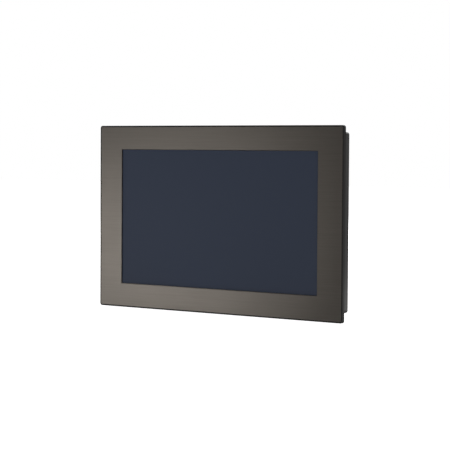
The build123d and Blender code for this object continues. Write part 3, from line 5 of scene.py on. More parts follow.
import bpy
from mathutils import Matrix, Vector


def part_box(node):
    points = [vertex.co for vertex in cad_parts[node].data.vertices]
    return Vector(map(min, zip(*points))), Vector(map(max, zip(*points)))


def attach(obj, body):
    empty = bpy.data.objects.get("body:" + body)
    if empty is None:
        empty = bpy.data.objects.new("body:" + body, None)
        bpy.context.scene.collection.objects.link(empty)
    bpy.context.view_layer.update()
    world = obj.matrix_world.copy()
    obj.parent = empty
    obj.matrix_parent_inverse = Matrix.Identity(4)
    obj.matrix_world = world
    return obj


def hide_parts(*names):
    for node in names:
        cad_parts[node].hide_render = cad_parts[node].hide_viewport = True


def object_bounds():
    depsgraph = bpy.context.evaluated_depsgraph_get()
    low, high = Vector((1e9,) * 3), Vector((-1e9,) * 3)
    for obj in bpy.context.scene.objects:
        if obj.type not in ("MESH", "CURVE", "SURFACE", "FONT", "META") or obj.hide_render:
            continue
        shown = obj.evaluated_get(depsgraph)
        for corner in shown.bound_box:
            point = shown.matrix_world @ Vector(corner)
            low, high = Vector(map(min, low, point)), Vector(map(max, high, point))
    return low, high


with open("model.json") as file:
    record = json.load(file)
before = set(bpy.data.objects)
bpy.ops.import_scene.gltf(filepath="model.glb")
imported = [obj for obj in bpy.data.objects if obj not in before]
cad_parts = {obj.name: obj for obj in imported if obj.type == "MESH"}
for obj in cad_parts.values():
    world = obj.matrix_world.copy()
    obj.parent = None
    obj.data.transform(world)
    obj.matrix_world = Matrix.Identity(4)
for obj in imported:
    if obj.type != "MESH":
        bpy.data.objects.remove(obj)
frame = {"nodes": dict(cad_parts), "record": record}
CAD_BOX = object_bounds()

bl_info = {
    "name": "Cabinet touch panel",
    "version": (1, 0, 0),
    "blender": (4, 5, 0),
    "location": "View3D > Sidebar > Touch panel",
    "description": "Builds the pieces, finishes and studio of a cabinet touch panel",
    "category": "Object",
}

MM = 0.001
MILLIMETRE = 1000.0            # pattern scale that gives one cell per millimetre
NODES = frame["nodes"]


# ---------------------------------------------------------------- colours and nodes

def linear(code):
    """Linear colour from an sRGB hex code."""
    channels = [int(code[place:place + 2], 16) / 255 for place in (1, 3, 5)]
    curve = [c / 12.92 if c <= 0.04045 else ((c + 0.055) / 1.055) ** 2.4 for c in channels]
    return (*curve, 1.0)


def add(tree, kind, links=None, **settings):
    """Adds a shader node with its settings, its socket values and its links."""
    node = tree.nodes.new(kind)
    for key, value in settings.items():
        if hasattr(node, key):
            setattr(node, key, value)
        else:
            node.inputs[key.replace("_", " ")].default_value = value
    for socket, source in (links or {}).items():
        tree.links.new(source, node.inputs[socket])
    return node


def finish(name, colour, roughness, metallic=0.0, **sockets):
    """New material with one Principled shader; returns the material, its tree and the shader."""
    material = bpy.data.materials.new(name)
    material.use_nodes = True
    tree = material.node_tree
    shader = tree.nodes["Principled BSDF"]
    shader.inputs["Base Color"].default_value = linear(colour)
    shader.inputs["Roughness"].default_value = roughness
    shader.inputs["Metallic"].default_value = metallic
    for key, value in sockets.items():
        shader.inputs[key.replace("_", " ")].default_value = value
    return material, tree, shader


def place(tree, scale=(1, 1, 1)):
    """Object coordinates, stretched by scale."""
    source = add(tree, "ShaderNodeTexCoord")
    return add(tree, "ShaderNodeMapping", {"Vector": source.outputs["Object"]}, Scale=scale).outputs["Vector"]


def ramp(tree, factor, stops):
    """Colour ramp through (position, hex colour) stops."""
    node = add(tree, "ShaderNodeValToRGB", {"Fac": factor})
    while len(node.color_ramp.elements) < len(stops):
        node.color_ramp.elements.new(0.5)
    for element, (position, colour) in zip(node.color_ramp.elements, stops):
        element.position = position
        element.color = linear(colour)
    return node.outputs["Color"]


def spread(tree, value, low, high):
    """Maps a 0 to 1 pattern to the span from low to high."""
    node = add(tree, "ShaderNodeMapRange", {"Value": value})
    node.inputs["To Min"].default_value = low
    node.inputs["To Max"].default_value = high
    return node.outputs["Result"]


def bump(tree, shader, height, distance, strength=1.0):
    """Raises the surface by a pattern, with its depth in metres."""
    node = add(tree, "ShaderNodeBump", {"Height": height}, Distance=distance, Strength=strength)
    tree.links.new(node.outputs["Normal"], shader.inputs["Normal"])


def dress(piece, material):
    """Gives a piece one material in place of all it had."""
    piece.data.materials.clear()
    piece.data.materials.append(material)
    return piece


# ---------------------------------------------------------------- finishes

def brushed_bronze_aluminium():
    """Bronze-grey anodised aluminium, brushed along its width: streaks a third of a millimetre apart
    draw a highlight out upright."""
    settings = bpy.context.scene.panel_front
    rough = settings.fascia_roughness
    material, tree, shader = finish("brushed_bronze_aluminium", settings.fascia_light, rough, 1.0,
                                    Anisotropic=0.6, Anisotropic_Rotation=0.25)
    streaks = add(tree, "ShaderNodeTexNoise", {"Vector": place(tree, (0.012, 1.0, 3.0))}, Scale=MILLIMETRE,
                  Detail=4.0, Roughness=0.6)
    clouds = add(tree, "ShaderNodeTexNoise", {"Vector": place(tree)}, Scale=0.02 * MILLIMETRE, Detail=2.0)
    tone = ramp(tree, streaks.outputs["Fac"], ((0.25, settings.fascia_dark), (0.75, settings.fascia_light)))
    tree.links.new(tone, shader.inputs["Base Color"])
    patches = spread(tree, clouds.outputs["Fac"], rough - 0.02, rough + 0.02)
    tree.links.new(patches, shader.inputs["Roughness"])
    grain = add(tree, "ShaderNodeTangent", direction_type="UV_MAP", uv_map="UVMap")
    tree.links.new(grain.outputs["Tangent"], shader.inputs["Tangent"])
    bump(tree, shader, streaks.outputs["Fac"], 0.003 * MM, 0.4)
    return material


def grained(name, colour, roughness, metallic=0.0, grain=1.0, depth=0.01, vary=0.05, tint=None, **sockets):
    """A finish with one even grain: grain is its size in millimetres, depth its height in millimetres."""
    material, tree, shader = finish(name, colour, roughness, metallic, **sockets)
    noise = add(tree, "ShaderNodeTexNoise", {"Vector": place(tree)}, Scale=MILLIMETRE / grain, Detail=3.0)
    tree.links.new(spread(tree, noise.outputs["Fac"], roughness - vary, roughness + vary),
                   shader.inputs["Roughness"])
    if tint:
        tone = ramp(tree, noise.outputs["Fac"], ((0.35, colour), (0.65, tint)))
        tree.links.new(tone, shader.inputs["Base Color"])
    if depth:
        bump(tree, shader, noise.outputs["Fac"], depth * MM, 0.5)
    return material


def antiglare_glass():
    """Etched touch glass over a dark display: an even blue-grey, with black ink that starts just under the
    fascia's edge."""
    settings = bpy.context.scene.panel_front
    rough = settings.screen_roughness
    clear_border = 1.3 * MM              # from the picture to the ink, all round
    material, tree, shader = finish("antiglare_glass", settings.screen_colour, rough)
    sparkle = add(tree, "ShaderNodeTexNoise", {"Vector": place(tree)}, Scale=0.9 * MILLIMETRE, Detail=3.0)
    grain = spread(tree, sparkle.outputs["Fac"], rough - 0.03, rough + 0.03)
    tree.links.new(grain, shader.inputs["Roughness"])
    axes = add(tree, "ShaderNodeSeparateXYZ", {"Vector": place(tree)})
    edges = []
    for axis, size in (("X", settings.picture_width), ("Z", settings.picture_height)):
        away = add(tree, "ShaderNodeMath", {0: axes.outputs[axis]}, operation="ABSOLUTE")
        edge = add(tree, "ShaderNodeMath", {0: away.outputs[0]}, operation="GREATER_THAN")
        edge.inputs[1].default_value = size / 2 + clear_border
        edges.append(edge.outputs[0])
    ink = add(tree, "ShaderNodeMath", {0: edges[0], 1: edges[1]}, operation="MAXIMUM")
    tone = ramp(tree, ink.outputs[0], ((0.4, settings.screen_colour), (0.6, "#0A0B0D")))
    tree.links.new(tone, shader.inputs["Base Color"])
    return material


def black_foam():
    """Closed-cell gasket foam: matte black with pores of under half a millimetre."""
    material, tree, shader = finish("black_foam", "#161616", 0.9)
    pores = add(tree, "ShaderNodeTexVoronoi", {"Vector": place(tree)}, Scale=2.5 * MILLIMETRE)
    bump(tree, shader, pores.outputs["Distance"], 0.05 * MM, 0.6)
    return material


def zinc_plate():
    """Bright zinc on cold rolled sheet: cool silver, with cloudy patches a few millimetres across."""
    material, tree, shader = finish("zinc_plate", "#A9ADAF", 0.34, 1.0)
    clouds = add(tree, "ShaderNodeTexNoise", {"Vector": place(tree)}, Scale=0.12 * MILLIMETRE, Detail=3.0)
    tree.links.new(spread(tree, clouds.outputs["Fac"], 0.26, 0.44), shader.inputs["Roughness"])
    tone = ramp(tree, clouds.outputs["Fac"], ((0.35, "#A2A6A9"), (0.65, "#B6B9BA")))
    tree.links.new(tone, shader.inputs["Base Color"])
    return material


def solder_mask():
    """Green solder mask over copper: tracks show as lighter lines about a millimetre apart and vias as
    small dots."""
    material, tree, shader = finish("solder_mask", "#0E3B28", 0.35, Coat_Weight=0.3, Coat_Roughness=0.2)
    tracks = add(tree, "ShaderNodeTexVoronoi", {"Vector": place(tree)}, Scale=0.28 * MILLIMETRE,
                 distance="MANHATTAN", feature="F2")
    lines = add(tree, "ShaderNodeMath", {0: tracks.outputs["Distance"]}, operation="PINGPONG")
    lines.inputs[1].default_value = 0.14
    tone = ramp(tree, lines.outputs[0], ((0.03, "#1B5A3C"), (0.09, "#0E3B28")))
    vias = add(tree, "ShaderNodeTexVoronoi", {"Vector": place(tree)}, Scale=0.22 * MILLIMETRE)
    dots = add(tree, "ShaderNodeMath", {0: vias.outputs["Distance"]}, operation="LESS_THAN")
    dots.inputs[1].default_value = 0.1
    mixed = add(tree, "ShaderNodeMix", {"Factor": dots.outputs[0]}, data_type="RGBA")
    tree.links.new(tone, mixed.inputs[6])
    mixed.inputs[7].default_value = linear("#A98E4F")
    tree.links.new(mixed.outputs[2], shader.inputs["Base Color"])
    return material


def plain_finishes():
    """Every even finish, by the record's slot name."""
    rear = bpy.context.scene.panel_rear
    return {
        # satin powder coat with a fine orange peel: dark, with a soft sheen along edges
        "bezel_coat": grained("satin_black_coat", "#282726", 0.6, grain=0.6, depth=0.006,
                              Specular_IOR_Level=0.25),
        # textured powder coat: broken, low sheen from pebbles of about half a millimetre
        "housing_coat": grained("textured_grey_coat", rear.housing_colour, 0.52, grain=0.55, depth=0.03,
                                vary=0.08),
        # two-sided acrylic tape: pale and slightly translucent at its edge
        "adhesive_tape": grained("adhesive_tape", "#C9C6BC", 0.6, grain=2.0, depth=0.0),
        # display glass behind the touch glass: black and mirror smooth
        "display_glass": grained("display_glass", "#0B0C10", 0.08, grain=30.0, depth=0.0, vary=0.02),
        "display_film": grained("diffuser_film", "#E4E6E8", 0.45, grain=8.0, depth=0.0),
        # amber polyimide over copper
        "flex_film": grained("polyimide_film", "#9A5A1C", 0.3, grain=3.0, depth=0.0, tint="#7E4413"),
        # zinc on screws and nuts: a little darker and rougher where the plating is drawn
        "screw_steel": grained("zinc_screws", "#9C9FA1", 0.33, 1.0, grain=0.8, depth=0.004),
        "tray_aluminium": grained("mill_aluminium", "#B4B6B8", 0.38, 1.0, grain=3.0, depth=0.002),
        # black anodised extrusion: deep grey with a silky metal sheen
        "sink_black": grained("black_anodised", "#26272A", 0.36, 0.85, grain=0.4, depth=0.004),
        "pad_grey": grained("silicone_pad", "#8A8F94", 0.8, grain=0.5, depth=0.02),
        # spark-eroded mould texture
        "moulded_black": grained("moulded_black", "#141414", 0.5, grain=0.35, depth=0.012),
        "moulded_white": grained("moulded_white", "#D9D8D2", 0.5, grain=0.35, depth=0.01),
        "package_black": grained("epoxy_package", "#1C1D1F", 0.6, grain=0.3, depth=0.01),
        "processor_lid": grained("nickel_lid", "#A7A49D", 0.3, 1.0, grain=1.5, depth=0.002),
        "cable_sleeve": grained("cable_sleeve", "#17181A", 0.5, grain=1.0, depth=0.02),
        "insert_brass": grained("nickel_brass", "#A99A72", 0.3, 1.0, grain=0.8, depth=0.003),
        # glass-filled nylon of terminal blocks
        "plug_green": grained("terminal_green", "#1F6B3B", 0.42, grain=0.4, depth=0.008),
        # polished moulding of the switch
        "rocker_black": grained("polished_black", "#0D0D0E", 0.18, grain=6.0, depth=0.001, vary=0.03),
        "button_grey": grained("button_grey", "#5A5D60", 0.45, grain=0.4, depth=0.006),
        "card_black": grained("card_black", "#191A1C", 0.38, grain=0.5, depth=0.004),
        "battery_steel": grained("battery_steel", "#B2B4B4", 0.24, 1.0, grain=4.0, depth=0.001),
    }


def plain(name):
    """An even finish that is already in the file, by its own name."""
    return bpy.data.materials[name]


# ---------------------------------------------------------------- settings

class PanelFront(bpy.types.PropertyGroup):
    """Sizes and colours of what faces the operator."""
    picture_width: bpy.props.FloatProperty(
        name="Picture width", description="Width of the lit area", default=0.3442, unit="LENGTH")
    picture_height: bpy.props.FloatProperty(
        name="Picture height", description="Height of the lit area", default=0.1936, unit="LENGTH")
    fascia_light: bpy.props.StringProperty(
        name="Fascia light streaks", description="sRGB code of the brush lines' light side",
        default="#8A847D")
    fascia_dark: bpy.props.StringProperty(
        name="Fascia dark streaks", description="sRGB code of the brush lines' dark side", default="#7D7770")
    fascia_roughness: bpy.props.FloatProperty(
        name="Fascia roughness", description="How far the brushing spreads a highlight", default=0.37)
    screen_colour: bpy.props.StringProperty(
        name="Screen", description="sRGB code of the dark screen", default="#2A3346")
    screen_roughness: bpy.props.FloatProperty(
        name="Screen roughness", description="Matte finish of the glass", default=0.55,
        min=0, max=1, subtype="FACTOR")


class PanelRear(bpy.types.PropertyGroup):
    """Colours of what is inside the cabinet."""
    housing_colour: bpy.props.StringProperty(
        name="Housing", description="sRGB code of the housing's powder coat", default="#2A2928")


class PanelStudio(bpy.types.PropertyGroup):
    """Camera and lights."""
    lens: bpy.props.FloatProperty(
        name="Lens", description="Focal length in millimetres on a 36 mm sensor", default=140.8)
    camera_distance: bpy.props.FloatProperty(
        name="Camera distance", description="From the camera to the bezel's front", default=2.472,
        unit="LENGTH")
    camera_azimuth: bpy.props.FloatProperty(
        name="Camera azimuth", description="Turn to the right of square on", default=math.radians(37.09),
        subtype="ANGLE")
    camera_elevation: bpy.props.FloatProperty(
        name="Camera elevation", description="Height above level", default=math.radians(2.53),
        subtype="ANGLE")
    camera_roll: bpy.props.FloatProperty(
        name="Camera roll", description="Tilt of the camera about its axis", default=math.radians(0.35),
        subtype="ANGLE")
    camera_aim: bpy.props.FloatVectorProperty(
        name="Camera aim", description="Point of the bezel's front that the camera looks at",
        default=(0.0171, -0.0055, -0.0067), subtype="XYZ")
    key_place: bpy.props.FloatVectorProperty(
        name="Key place", description="Middle of the small soft light that the fascia mirrors",
        default=(-0.84, -0.93, -0.12), subtype="XYZ")
    key_aim: bpy.props.FloatVectorProperty(
        name="Key aim", description="Point that the small soft light faces", default=(-0.1, 0.0, -0.03),
        subtype="XYZ")
    key_power: bpy.props.FloatProperty(
        name="Key light", description="Small soft light in watts", default=1.2)
    fill_power: bpy.props.FloatProperty(
        name="Fill light", description="Wide overhead light in watts", default=1.0)
    edge_power: bpy.props.FloatProperty(
        name="Edge light", description="Light along the front for the window's lower edge, in watts",
        default=1.2)
    low_power: bpy.props.FloatProperty(
        name="Low light", description="Low light at the right in watts", default=0.09)
    side_power: bpy.props.FloatProperty(
        name="Side light", description="Wide light behind at the right in watts", default=4.6)
    rear_power: bpy.props.FloatProperty(
        name="Rear light", description="Wide light behind in watts", default=55.0)
    room_light: bpy.props.FloatProperty(
        name="Room light", description="Even light from the room, as a share of white", default=0.105)
    floor_glow: bpy.props.FloatProperty(
        name="Floor glow", description="Light that the floor gives", default=1.0)


# ---------------------------------------------------------------- modelling by hand

def start_fresh():
    """Leaves nothing selected and nothing in edit mode."""
    if bpy.context.object and bpy.context.object.mode != "OBJECT":
        bpy.ops.object.mode_set(mode="OBJECT")
    bpy.ops.object.select_all(action="DESELECT")


def settle(piece, name):
    """Puts a new piece's place into its mesh and names it."""
    bpy.ops.object.mode_set(mode="OBJECT")
    bpy.ops.object.select_all(action="DESELECT")
    piece.select_set(True)
    bpy.context.view_layer.objects.active = piece
    bpy.ops.object.transform_apply(location=True, rotation=True, scale=True)
    piece.name = name
    piece.data.name = name
    return piece


def cuboid(name, low, high):
    """Block between two corners, as the start of a piece."""
    start_fresh()
    low, high = Vector(low), Vector(high)
    bpy.ops.mesh.primitive_cube_add(size=1.0, location=(low + high) / 2, scale=high - low)
    return settle(bpy.context.object, name)


def pick_faces(piece, test):
    """Enters edit mode with only the faces that pass the test selected."""
    bpy.ops.object.mode_set(mode="OBJECT")
    bpy.context.view_layer.objects.active = piece
    bpy.context.tool_settings.mesh_select_mode = (False, False, True)
    for part in (piece.data.vertices, piece.data.edges, piece.data.polygons):
        part.foreach_set("select", [False] * len(part))
    for face in piece.data.polygons:
        face.select = test(face)
    bpy.ops.object.mode_set(mode="EDIT")


def pick_edges(piece, test):
    """Enters edit mode with only the edges whose two ends pass the test selected."""
    bpy.ops.object.mode_set(mode="OBJECT")
    bpy.context.view_layer.objects.active = piece
    bpy.context.tool_settings.mesh_select_mode = (False, True, False)
    mesh = piece.data
    for part in (mesh.vertices, mesh.edges, mesh.polygons):
        part.foreach_set("select", [False] * len(part))
    for edge in mesh.edges:
        ends = [mesh.vertices[index].co for index in edge.vertices]
        edge.select = test(*ends)
    bpy.ops.object.mode_set(mode="EDIT")


def frame_plate(name, outer, corner, window, front, rear):
    """Flat ring that faces the front: a rounded outline bridged to a sharp window, then made thick."""
    start_fresh()
    bpy.ops.mesh.primitive_plane_add(size=1.0, location=(0, front, 0), rotation=(math.pi / 2, 0, 0))
    piece = bpy.context.object
    piece.dimensions = (outer[0], outer[1], 0)
    settle(piece, name)
    bpy.ops.object.mode_set(mode="EDIT")
    bpy.ops.mesh.select_all(action="SELECT")
    bpy.ops.mesh.bevel(offset=corner, segments=8, affect="VERTICES")
    bpy.ops.mesh.select_all(action="SELECT")
    bpy.ops.mesh.delete(type="ONLY_FACE")
    bpy.ops.mesh.primitive_plane_add(size=1.0, location=(0, front, 0), rotation=(math.pi / 2, 0, 0))
    bpy.ops.transform.resize(value=(window[0], 1, window[1]))
    bpy.ops.mesh.delete(type="ONLY_FACE")
    bpy.ops.mesh.select_all(action="SELECT")
    bpy.ops.mesh.bridge_edge_loops()
    bpy.ops.mesh.select_all(action="SELECT")
    bpy.ops.mesh.extrude_region_move(TRANSFORM_OT_translate={"value": (0, rear - front, 0)})
    bpy.ops.mesh.select_all(action="SELECT")
    bpy.ops.mesh.normals_make_consistent(inside=False)
    bpy.ops.object.mode_set(mode="OBJECT")
    return piece


def upright_map(piece):
    """UV map laid square on the front: across is +X and up is +Z, in metres."""
    layer = piece.data.uv_layers.get("UVMap") or piece.data.uv_layers.new(name="UVMap")
    for loop in piece.data.loops:
        point = piece.data.vertices[loop.vertex_index].co
        layer.data[loop.index].uv = (point.x + point.y, point.z + point.y)


def shade(piece, angle=30.0):
    """Smooth shading across shallow edges only; the angle is in degrees."""
    start_fresh()
    piece.select_set(True)
    bpy.context.view_layer.objects.active = piece
    bpy.ops.object.shade_smooth_by_angle(angle=math.radians(angle))
    return piece


def join(pieces, name):
    """Makes one piece of several."""
    start_fresh()
    for piece in pieces:
        piece.select_set(True)
    bpy.context.view_layer.objects.active = pieces[0]
    bpy.ops.object.join()
    return settle(bpy.context.object, name)


def bevelled(piece, width, segments=2):
    """Rounds every edge of a piece."""
    start_fresh()
    bpy.context.view_layer.objects.active = piece
    bpy.ops.object.mode_set(mode="EDIT")
    bpy.ops.mesh.select_all(action="SELECT")
    bpy.ops.mesh.bevel(offset=width, segments=segments, affect="EDGES")
    bpy.ops.object.mode_set(mode="OBJECT")
    return shade(piece)


def round_bar(name, centre, radius, depth, sides=24):
    """Round bar centred at a point, along Y."""
    start_fresh()
    bpy.ops.mesh.primitive_cylinder_add(vertices=sides, radius=radius, depth=depth, location=centre,
                                        rotation=(math.pi / 2, 0, 0))
    return settle(bpy.context.object, name)


def draw_out(*move):
    """Extrudes what is selected in edit mode by a move in metres."""
    bpy.ops.mesh.extrude_region_move(TRANSFORM_OT_translate={"value": move})


def leave_edit():
    """Ends edit mode."""
    bpy.ops.object.mode_set(mode="OBJECT")


def hand_over(piece, material, body):
    """Dresses a finished piece and puts it on its body."""
    dress(piece, material)
    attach(piece, body)
    return {"FINISHED"}


# ---------------------------------------------------------------- pieces

class PANEL_OT_fascia(bpy.types.Operator):
    """Brushed fascia with its bevelled window"""
    bl_idname = "panel.fascia"
    bl_label = "Fascia"

    def execute(self, context):
        low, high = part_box("fascia_plate")
        settings = context.scene.panel_front
        bevel = 0.7 * MM
        corner = 1.4 * MM
        border = (1.8 * MM, 2.4 * MM)    # what the window is larger than the picture, across and up
        window = (settings.picture_width + border[0], settings.picture_height + border[1])
        plate = frame_plate("fascia", (high.x - low.x, high.z - low.z), corner, window, low.y, high.y)

        def on_window(point):
            """Whether a point of the front is on the window's edge."""
            return (abs(point.y - low.y) < MM / 1000 and abs(point.x) < window[0] / 2 + MM
                    and abs(point.z) < window[1] / 2 + MM)

        pick_edges(plate, lambda a, b: on_window(a) and on_window(b))
        bpy.ops.mesh.bevel(offset=bevel, segments=2, affect="EDGES")
        bpy.ops.object.mode_set(mode="OBJECT")
        upright_map(plate)
        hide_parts("fascia_plate")
        return hand_over(plate, brushed_bronze_aluminium(), "chassis")


class PANEL_OT_finishes(bpy.types.Operator):
    """Finishes of every piece that is shown as designed"""
    bl_idname = "panel.finishes"
    bl_label = "Finishes"

    def execute(self, context):
        finishes = plain_finishes()
        finishes["touch_glass"] = antiglare_glass()
        finishes["seal_foam"] = black_foam()
        finishes["zinc_steel"] = zinc_plate()
        finishes["circuit_board"] = solder_mask()
        for entry in frame["record"]["subparts"]:
            if entry["material_slot"] in finishes:
                dress(NODES[entry["node"]], finishes[entry["material_slot"]])
        return {"FINISHED"}


class PANEL_OT_thumb_screw(bpy.types.Operator):
    """Knurled thumb screw of the battery flap"""
    bl_idname = "panel.thumb_screw"
    bl_label = "Thumb screw"

    def execute(self, context):
        low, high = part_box("flap_screw")
        middle = (low + high) / 2
        radius = (high.x - low.x) / 2
        head_height = 5.0 * MM
        shank_length = high.y - head_height - low.y
        shank_radius = 1.5 * MM
        shank_lead = 0.3 * MM
        teeth = 36
        tooth_height = 0.3 * MM
        tooth_flank = 0.06 * MM
        tooth_clearance = 0.05 * MM
        rim = 0.5 * MM
        crown_rim = 0.6 * MM
        crown_depth = 0.35 * MM
        slot_width = 1.0 * MM
        slot_depth = 0.9 * MM
        head = round_bar("thumb_screw", (middle.x, high.y - head_height / 2, middle.z),
                         radius - tooth_height - tooth_clearance, head_height, teeth * 2)
        pick_faces(head, lambda f: abs(f.normal.y) > 0.9)
        bpy.ops.mesh.inset(thickness=rim)
        leave_edit()
        # every second face round the side is drawn out into a tooth
        faces = head.data.polygons
        sides = [f.index for f in faces if abs(f.normal.y) < 0.1]
        sides.sort(key=lambda i: math.atan2(faces[i].center.z - middle.z, faces[i].center.x - middle.x))
        teeth_faces = set(sides[::2])
        pick_faces(head, lambda f: f.index in teeth_faces)
        bpy.ops.mesh.inset(thickness=tooth_flank, use_individual=True)
        bpy.ops.mesh.extrude_faces_move(TRANSFORM_OT_shrink_fatten={"value": tooth_height})
        # crown of the head, sunk a little and cut across for a screwdriver
        pick_faces(head, lambda f: f.normal.y > 0.9 and len(f.vertices) > teeth / 2)
        bpy.ops.mesh.inset(thickness=crown_rim)
        draw_out(0, -crown_depth, 0)
        for side in (-1, 1):
            pick_faces(head, lambda f: f.normal.y > 0.9 and len(f.vertices) > teeth / 2)
            bpy.ops.mesh.bisect(plane_co=(middle.x, middle.y, middle.z + side * slot_width / 2),
                                plane_no=(0, 0, 1))
        pick_faces(head, lambda f: f.normal.y > 0.9 and (f.center - middle).xz.length < slot_width / 5)
        draw_out(0, -slot_depth, 0)
        leave_edit()
        shank = round_bar("thumb_shank", (middle.x, low.y + shank_length / 2, middle.z), shank_radius,
                          shank_length)
        pick_faces(shank, lambda f: f.normal.y < -0.9)
        bpy.ops.mesh.inset(thickness=shank_lead)
        draw_out(0, -shank_lead, 0)
        leave_edit()
        screw = shade(join([head, shank], "thumb_screw"), 25)
        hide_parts("flap_screw")
        return hand_over(screw, plain("zinc_screws"), "flap")


class PANEL_OT_network_sockets(bpy.types.Operator):
    """Spring contacts and lamp windows of the network sockets"""
    bl_idname = "panel.network_sockets"
    bl_label = "Network sockets"

    def execute(self, context):
        low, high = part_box("lan_ports")
        middle_y = (low.y + high.y) / 2
        socket_width = 16.0 * MM
        contacts = 8
        contact_pitch = 1.02 * MM
        contact_width = 0.4 * MM
        contact_top = 3.9 * MM          # from the jack's middle to the contact's back
        contact_ends = (9.0 * MM, 12.8 * MM)
        spring = (0, 2.3 * MM, -5.0 * MM)
        hook = (0, 0.5 * MM, -0.8 * MM)
        lamp_offset = 5.6 * MM
        lamp_width = 3.0 * MM
        lamp_edges = (0.7 * MM, 2.0 * MM)
        lamp_depths = (-0.12 * MM, 0.3 * MM)
        gold = grained("gold_contact", "#C89B45", 0.25, 1.0, grain=1.0, depth=0.001)
        lamps = (("left", -1, grained("lamp_green", "#4E7A4A", 0.2, grain=4.0, depth=0.0,
                                      Transmission_Weight=0.2)),
                 ("right", 1, grained("lamp_amber", "#A0793A", 0.2, grain=4.0, depth=0.0,
                                      Transmission_Weight=0.2)))
        for number, x in enumerate((low.x + socket_width / 2, high.x - socket_width / 2), 1):
            wires = []
            for place_number in range(contacts):
                # each wire leaves the back of the jack and slopes towards its mouth
                wire_x = x + (place_number - (contacts - 1) / 2) * contact_pitch
                wire = cuboid("wire",
                              (wire_x - contact_width / 2, middle_y - contact_top, low.z + contact_ends[0]),
                              (wire_x + contact_width / 2, middle_y - contact_top + contact_width,
                               low.z + contact_ends[1]))
                pick_faces(wire, lambda f: f.normal.z < -0.9)
                draw_out(*spring)
                draw_out(*hook)
                leave_edit()
                wires.append(wire)
            hand_over(shade(join(wires, f"network_contacts_{number}")), gold, "chassis")
            for side, sign, lamp in lamps:
                centre = x + sign * lamp_offset
                window = cuboid(f"network_lamp_{number}_{side}",
                                (centre - lamp_width / 2, low.y + lamp_edges[0], low.z + lamp_depths[0]),
                                (centre + lamp_width / 2, low.y + lamp_edges[1], low.z + lamp_depths[1]))
                hand_over(bevelled(window, 0.1 * MM), lamp, "chassis")
        return {"FINISHED"}


class PANEL_OT_usb_tongues(bpy.types.Operator):
    """Plastic tongues with four contacts inside the double sockets"""
    bl_idname = "panel.usb_tongues"
    bl_label = "Socket tongues"

    def execute(self, context):
        low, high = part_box("usb_ports")
        socket_width = 14.4 * MM
        rows = (0.27, 0.73)              # middles of the two mouths, as shares of the socket's height
        tongue_width = 11.4 * MM
        tongue_height = 2.0 * MM
        tongue_length = 11.15 * MM
        tongue_drop = 1.3 * MM           # the tongue sits off the mouth's middle
        root = low.z + 13.0 * MM
        contacts = 4
        contact_pitch = 2.3 * MM
        contact_width = 1.0 * MM
        contact_proud = 0.12 * MM
        contact_ends = (10.2 * MM, 2.0 * MM)
        overlap = 0.05 * MM
        gold = grained("gold_pad", "#C89B45", 0.28, 1.0, grain=1.0, depth=0.001)
        for number, x in enumerate((low.x + socket_width / 2, high.x - socket_width / 2), 1):
            tongues, pads = [], []
            for share in rows:
                y = low.y + (high.y - low.y) * share - tongue_drop
                tongue = cuboid("tongue", (x - tongue_width / 2, y - tongue_height / 2, root - tongue_length),
                                (x + tongue_width / 2, y + tongue_height / 2, root + overlap * 0.4))
                tongues.append(bevelled(tongue, 0.2 * MM))
                face = y + tongue_height / 2
                for place_number in range(contacts):
                    pad_x = x + (place_number - (contacts - 1) / 2) * contact_pitch
                    pad = cuboid("pad", (pad_x - contact_width / 2, face - overlap, root - contact_ends[0]),
                                 (pad_x + contact_width / 2, face + contact_proud, root - contact_ends[1]))
                    pads.append(bevelled(pad, 0.05 * MM, 1))
            hand_over(join(tongues, f"usb_tongues_{number}"), plain("moulded_black"), "chassis")
            hand_over(join(pads, f"usb_contacts_{number}"), gold, "chassis")
        return {"FINISHED"}


class PANEL_OT_serial_insert(bpy.types.Operator):
    """Black insert at the bottom of the serial socket's shell"""
    bl_idname = "panel.serial_insert"
    bl_label = "Serial socket insert"

    def execute(self, context):
        screws_low, screws_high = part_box("serial_jackscrews")
        middle = (screws_low + screws_high) / 2
        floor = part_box("serial_port")[0].z + 5.8 * MM
        width = 15.2 * MM
        height = 6.8 * MM
        thickness = 0.9 * MM
        sunk = 0.05 * MM
        lip = 0.3 * MM
        corner = 0.9 * MM
        taper = 0.84                     # the front long side is shorter, which gives the D shape
        insert = cuboid("serial_insert", (middle.x - width / 2, middle.y - height / 2, floor - thickness),
                        (middle.x + width / 2, middle.y + height / 2, floor + sunk))
        pick_faces(insert, lambda f: f.normal.y < -0.9)
        bpy.ops.transform.resize(value=(taper, 1, 1))
        pick_edges(insert, lambda a, b: abs((a - b).z) > thickness / 2)
        bpy.ops.mesh.bevel(offset=corner, segments=4, affect="EDGES")
        pick_faces(insert, lambda f: f.normal.z < -0.9)
        bpy.ops.mesh.inset(thickness=lip)
        draw_out(0, 0, -0.25 * MM)
        leave_edit()
        return hand_over(shade(insert), plain("moulded_black"), "chassis")


